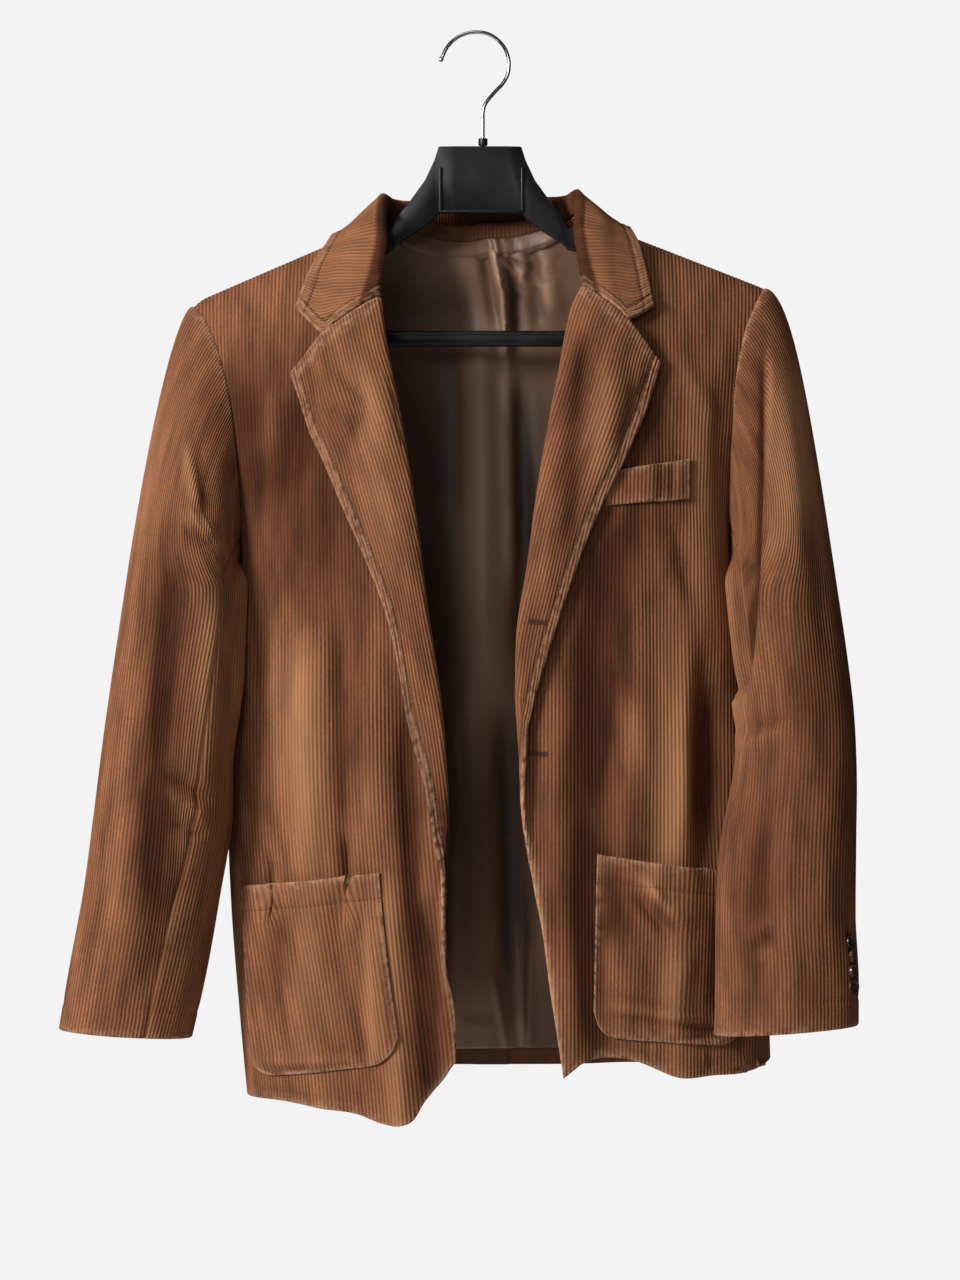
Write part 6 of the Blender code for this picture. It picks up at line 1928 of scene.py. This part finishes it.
def place_ring(piece, x, half):
    """Moves the ring of corners at x on to a section, given by its front half."""
    wanted = [(-y, height) for y, height in half] + half[::-1]
    shape = bmesh.from_edit_mesh(piece.data)
    ring = [vert for vert in shape.verts if abs(vert.co.x - x * METRES) < 1e-6]
    level = sum(vert.co.z for vert in ring) / len(ring)
    ring.sort(key=lambda vert: math.atan2(vert.co.y, vert.co.z - level))
    for index, (y, height) in zip([vert.index for vert in ring], wanted):
        shape = bmesh.from_edit_mesh(piece.data)
        shape.verts.ensure_lookup_table()
        now = shape.verts[index].co.copy()
        pick(piece, "verts", lambda vert: vert.index == index)
        bpy.ops.transform.translate(value=Vector((x, y, height)) * METRES - now)


def moulded_rib(x, low, high, wide):
    """A raised rib on the plate's front, its outer side drawn in as a mould leaves it."""
    bpy.ops.mesh.primitive_cube_add(size=1.0,
                                    location=(x * METRES, -RIB_FRONT * METRES, (low + high) / 2 * METRES),
                                    scale=(wide * METRES, RIB_DEPTH * METRES, (high - low) * METRES))
    rib = bpy.context.object
    fix_place(rib)
    with editing(rib):
        pick(rib, "faces", lambda side: side.normal.y < -0.9)
        draw_in(0.4)
        shift(0, -0.4, 0)
    apply_bevel(rib, 0.25, 2)
    return rib


def rod(name, route, radius, resolution):
    """A bent round rod, from a curve with thickness turned into a mesh."""
    data = bpy.data.curves.new(name, "CURVE")
    data.dimensions = "3D"
    data.bevel_depth, data.bevel_resolution, data.use_fill_caps = radius * METRES, resolution, True
    line = data.splines.new("POLY")
    line.points.add(len(route) - 1)
    for point, (x, z) in zip(line.points, route):
        point.co = (x * METRES, 0, z * METRES, 1)
    only(linked(name, data))
    bpy.ops.object.convert(target="MESH")
    piece = bpy.context.object
    with editing(piece):
        bpy.ops.mesh.remove_doubles(threshold=1e-6)
        bpy.ops.mesh.normals_make_consistent(inside=False)
    return piece


def shape_bar():
    """The trouser bar: flatter than round, its ends bent up to the arms."""
    halves = []
    for side in (RIGHT, LEFT):
        stations = np.array(arm_stations(side))
        arm_bottom = float(np.interp(BAR_END, stations[:, 0], stations[:, 2]))
        half = [(side * x, BAR_HEIGHT) for x in (40, 100, 150)]
        half += [(side * (BAR_END - BAR_BEND * (1 - math.sin(t))), BAR_HEIGHT + BAR_BEND * (1 - math.cos(t)))
                 for t in np.linspace(0, math.pi / 2, 12)]
        if arm_bottom - BAR_GAP > half[-1][1] + 1:
            half.append((side * BAR_END, arm_bottom - BAR_GAP))
        halves.append(half)
    piece = rod("bar", [*reversed(halves[0]), *halves[1]], BAR_RADIUS, 7)
    with editing(piece):
        bpy.ops.transform.resize(value=(1, BAR_HALF_DEPTH / BAR_RADIUS, 1),
                                 center_override=(0, 0, BAR_HEIGHT * METRES))
        # A shallow channel runs along the bar's front.
        pick(piece, "faces", lambda face: face.normal.y < -0.93 and abs(face.calc_center_median().x) < 0.17)
        draw_in(0.4, use_even_offset=True)
        shift(0, 0.6, 0)
    settle(piece, "moulded_bar", "hanger_bar", PLASTIC)


def shape_hook():
    """The wire hook, with a small ball at its tip, and the black collar it turns in."""
    keys = np.arange(len(HOOK_ROUTE))
    route = np.stack([curve(np.linspace(0, keys[-1], 120), keys, line) for line in zip(*HOOK_ROUTE)], -1)
    wire = rod("wire", route, WIRE_RADIUS, 5)
    bpy.ops.mesh.primitive_uv_sphere_add(segments=16, ring_count=10, radius=BALL_RADIUS * METRES,
                                         location=(HOOK_ROUTE[0][0] * METRES, 0, HOOK_ROUTE[0][1] * METRES))
    ball = bpy.context.object
    with editing(ball):
        bpy.ops.transform.resize(value=(0.9, 0.9, 1.1))
        pick(ball, "faces", lambda face: face.normal.z < -0.9)
        shift(0, 0, 0.3)
    only(ball, wire)
    bpy.ops.object.join()
    settle(bpy.context.object, "wire_hook", "hanger_hook", STEEL, 50)

    low, high = PLATE_TOP + SEAM, FERRULE["top"]
    collar = solid_disc(FERRULE["radius"], high - low, HOOK_ROUTE[-1][0], (low + high) / 2)
    with editing(collar):
        pick(collar, "faces", lambda face: face.normal.z > 0.9)
        draw_in(1.3)
        shift(0, 0, -1.2)
    apply_bevel(collar, 0.45, 3)
    settle(collar, "swivel_collar", "hanger_ferrule", PLASTIC)


# ---------------------------------------------------------------- buttons
def shape_button():
    """One button: a rounded rim, a dished middle and four holes."""
    button = solid_disc(BUTTON_RADIUS, BUTTON_HEIGHT, 0, BUTTON_HEIGHT / 2)
    fix_place(button)
    with editing(button):
        pick(button, "faces", lambda face: face.normal.z > 0.9)
        for width, depth in ((1.3, 0.0), (0.6, -0.6), (0.4, -0.2)):
            draw_in(width, depth)
        pick(button, "faces", lambda face: face.normal.z < -0.9)
        draw_in(1.2)
        bpy.ops.transform.resize(value=(0.8, 0.8, 1))
    for k in range(4):
        turn = math.pi / 4 + k * math.pi / 2
        bpy.ops.mesh.primitive_cylinder_add(vertices=10, radius=0.6 * METRES, depth=12 * METRES, location=(
            math.cos(turn) * HOLE_RING * METRES, math.sin(turn) * HOLE_RING * METRES, METRES))
        drill = bpy.context.object
        only(button)
        hole = button.modifiers.new("hole", "BOOLEAN")
        hole.operation, hole.object, hole.solver = "DIFFERENCE", drill, "EXACT"
        bpy.ops.object.modifier_apply(modifier=hole.name)
        bpy.data.objects.remove(drill)
    apply_bevel(button, 0.3, 3, 50)
    only(button)
    bpy.ops.object.shade_smooth_by_angle(angle=math.radians(40))
    button.data.materials.append(HORN)
    return button


def sew_buttons():
    """Buttons up each cuff: one is modelled, and each other is a copy with its own mesh."""
    model = shape_button()
    threads = []
    for side, number in itertools.product((RIGHT, LEFT), range(len(BUTTON_SHARES))):
        node = f"cuff_button_{SIDE_NAMES[side]}_{number + 1}"
        share = np.array(BUTTON_SHARES[number])
        angle = seam_angle(side, "back", share) - 2 * math.pi + BUTTON_TURN[side]
        out = sleeve_normal(side, angle, share)
        side_way = unit(np.cross(out, (0, 0, 1.0)))
        up = np.cross(out, side_way)
        seat = sleeve(side, angle, share) + out * (CLOTH / 2 + SEAM)
        place = Matrix([[*row] for row in np.stack([side_way, up, out], 1)]).to_4x4()
        place.translation = Vector(seat) * METRES
        button = linked(node + "_horn", model.data.copy())
        button.data.transform(place)
        carry(button, [node])
        top = seat + out * (BUTTON_HEIGHT - 0.6)
        threads += [((top + up * way * 1.15)[None], side_way[None], out[None]) for way in (1, -1)]
    sew("button_thread", threads, DARK_THREAD, 3.6, 0.5)
    bpy.data.objects.remove(model)


def sew(name, seams, material=BROWN_THREAD, length=STITCH, thread=THREAD):
    carry(stitches(name, seams, material, length, thread), [])


def dress():
    patches = []
    for side in (RIGHT, LEFT):
        for piece, slot in zip(make_front(side), ("corduroy", "corduroy", "lining")):
            finish_cloth(piece)
        for piece in make_sleeve(side):
            finish_cloth(piece)
        pocket, sewn = make_pocket(side)
        finish_cloth(pocket)
        patches += sewn
    for back in make_backs():
        finish_cloth(back)
    finish_cloth(make_back_lining())
    sew("front_edge_stitches", [seam for side in (RIGHT, LEFT) for seam in front_seams(side)])
    for shape in (shape_hanger, shape_bar, shape_hook, sew_buttons):
        shape()
    collar, neck, collar_grid = make_collar()
    finish_cloth(collar)
    for piece, slot in zip(neck, ("corduroy", "lining")):
        finish_cloth(piece, False)
    welt, sewn = make_welt()
    finish_cloth(welt)
    sew("patch_stitches", patches + sewn[:2], length=FINE_STITCH, thread=FINE_THREAD)
    sew("collar_stitches", collar_seams(*collar_grid))
    cuffs = [cuff_seam(side, seams) for side in (RIGHT, LEFT) for seams in (TOP_SEAMS, UNDER_SEAMS)]
    sew("cuff_stitches", cuffs, length=FINE_STITCH, thread=FINE_THREAD)
    holes = [lip for place in BUTTONHOLES for lip in buttonhole(*place)]
    sew("buttonhole_stitches", holes, DARK_THREAD, 2.6, 0.34)


def make_camera():
    data = bpy.data.cameras.new("camera")
    data.sensor_fit, data.sensor_height = "VERTICAL", 36.0
    data.lens = data.sensor_height * CAMERA_DISTANCE / FRAME_HEIGHT
    camera = linked("camera", data)
    camera.location = (0, -CAMERA_DISTANCE, CAMERA_HEIGHT)
    camera.rotation_euler = (math.pi / 2, 0, 0)
    bpy.context.scene.camera = camera


CAMERA_DISTANCE, CAMERA_HEIGHT, FRAME_HEIGHT = 3.0, -0.488, 1.024
AIM = Vector((0, 0, -0.45))
FLOOR = -1.36
# Soft boxes: place in metres, edge, watts.
SOFT_BOXES = (((-2.3, -2.0, 0.6), 0.8, 114.0), ((-0.9, -3.0, 0.5), 0.7, 12.0), ((-0.5, -1.4, 2.2), 1.4, 10.0),
              ((0.4, 2.6, 0.8), 2.2, 10.0))


def make_lights():
    for number, (place, edge, watts) in enumerate(SOFT_BOXES):
        data = bpy.data.lights.new(f"soft box {number}", "AREA")
        data.size, data.energy = edge, watts
        lamp = linked(data.name, data)
        lamp.location = place
        lamp.rotation_euler = (AIM - Vector(place)).to_track_quat("-Z", "Y").to_euler()
    world = bpy.data.worlds.new("pale studio")
    world.use_nodes = True
    tree = world.node_tree
    tree.nodes.clear()
    seen, soft = (add(tree, "ShaderNodeBackground", {0: linear("#f3f3f3"), 1: strength}).outputs[0]
                  for strength in (1.0, 0.06))
    eye = add(tree, "ShaderNodeLightPath").outputs["Is Camera Ray"]
    both = add(tree, "ShaderNodeMixShader", {0: eye, 1: soft, 2: seen}).outputs[0]
    add(tree, "ShaderNodeOutputWorld", {0: both})
    bpy.context.scene.world = world
    bpy.context.scene.view_settings.view_transform = "Standard"


def make_floor():
    """A pale matt floor below the hanging jacket."""
    bpy.ops.mesh.primitive_grid_add(x_subdivisions=4, y_subdivisions=4, size=3.2, location=(0, 0, FLOOR))
    floor = bpy.context.object
    floor.name = "floor"
    material, tree, shader = shader_of("pale matt studio floor")
    marks = noise(tree, object_places(tree), 6.0, 3.0)
    feed(tree, shader, {"Base Color": ramp(tree, marks, (0.3, "#e4e4e3"), (0.7, "#ebebea")), "Roughness": 0.8})
    floor.data.materials.append(material)


make_camera()
make_lights()
make_floor()
dress()
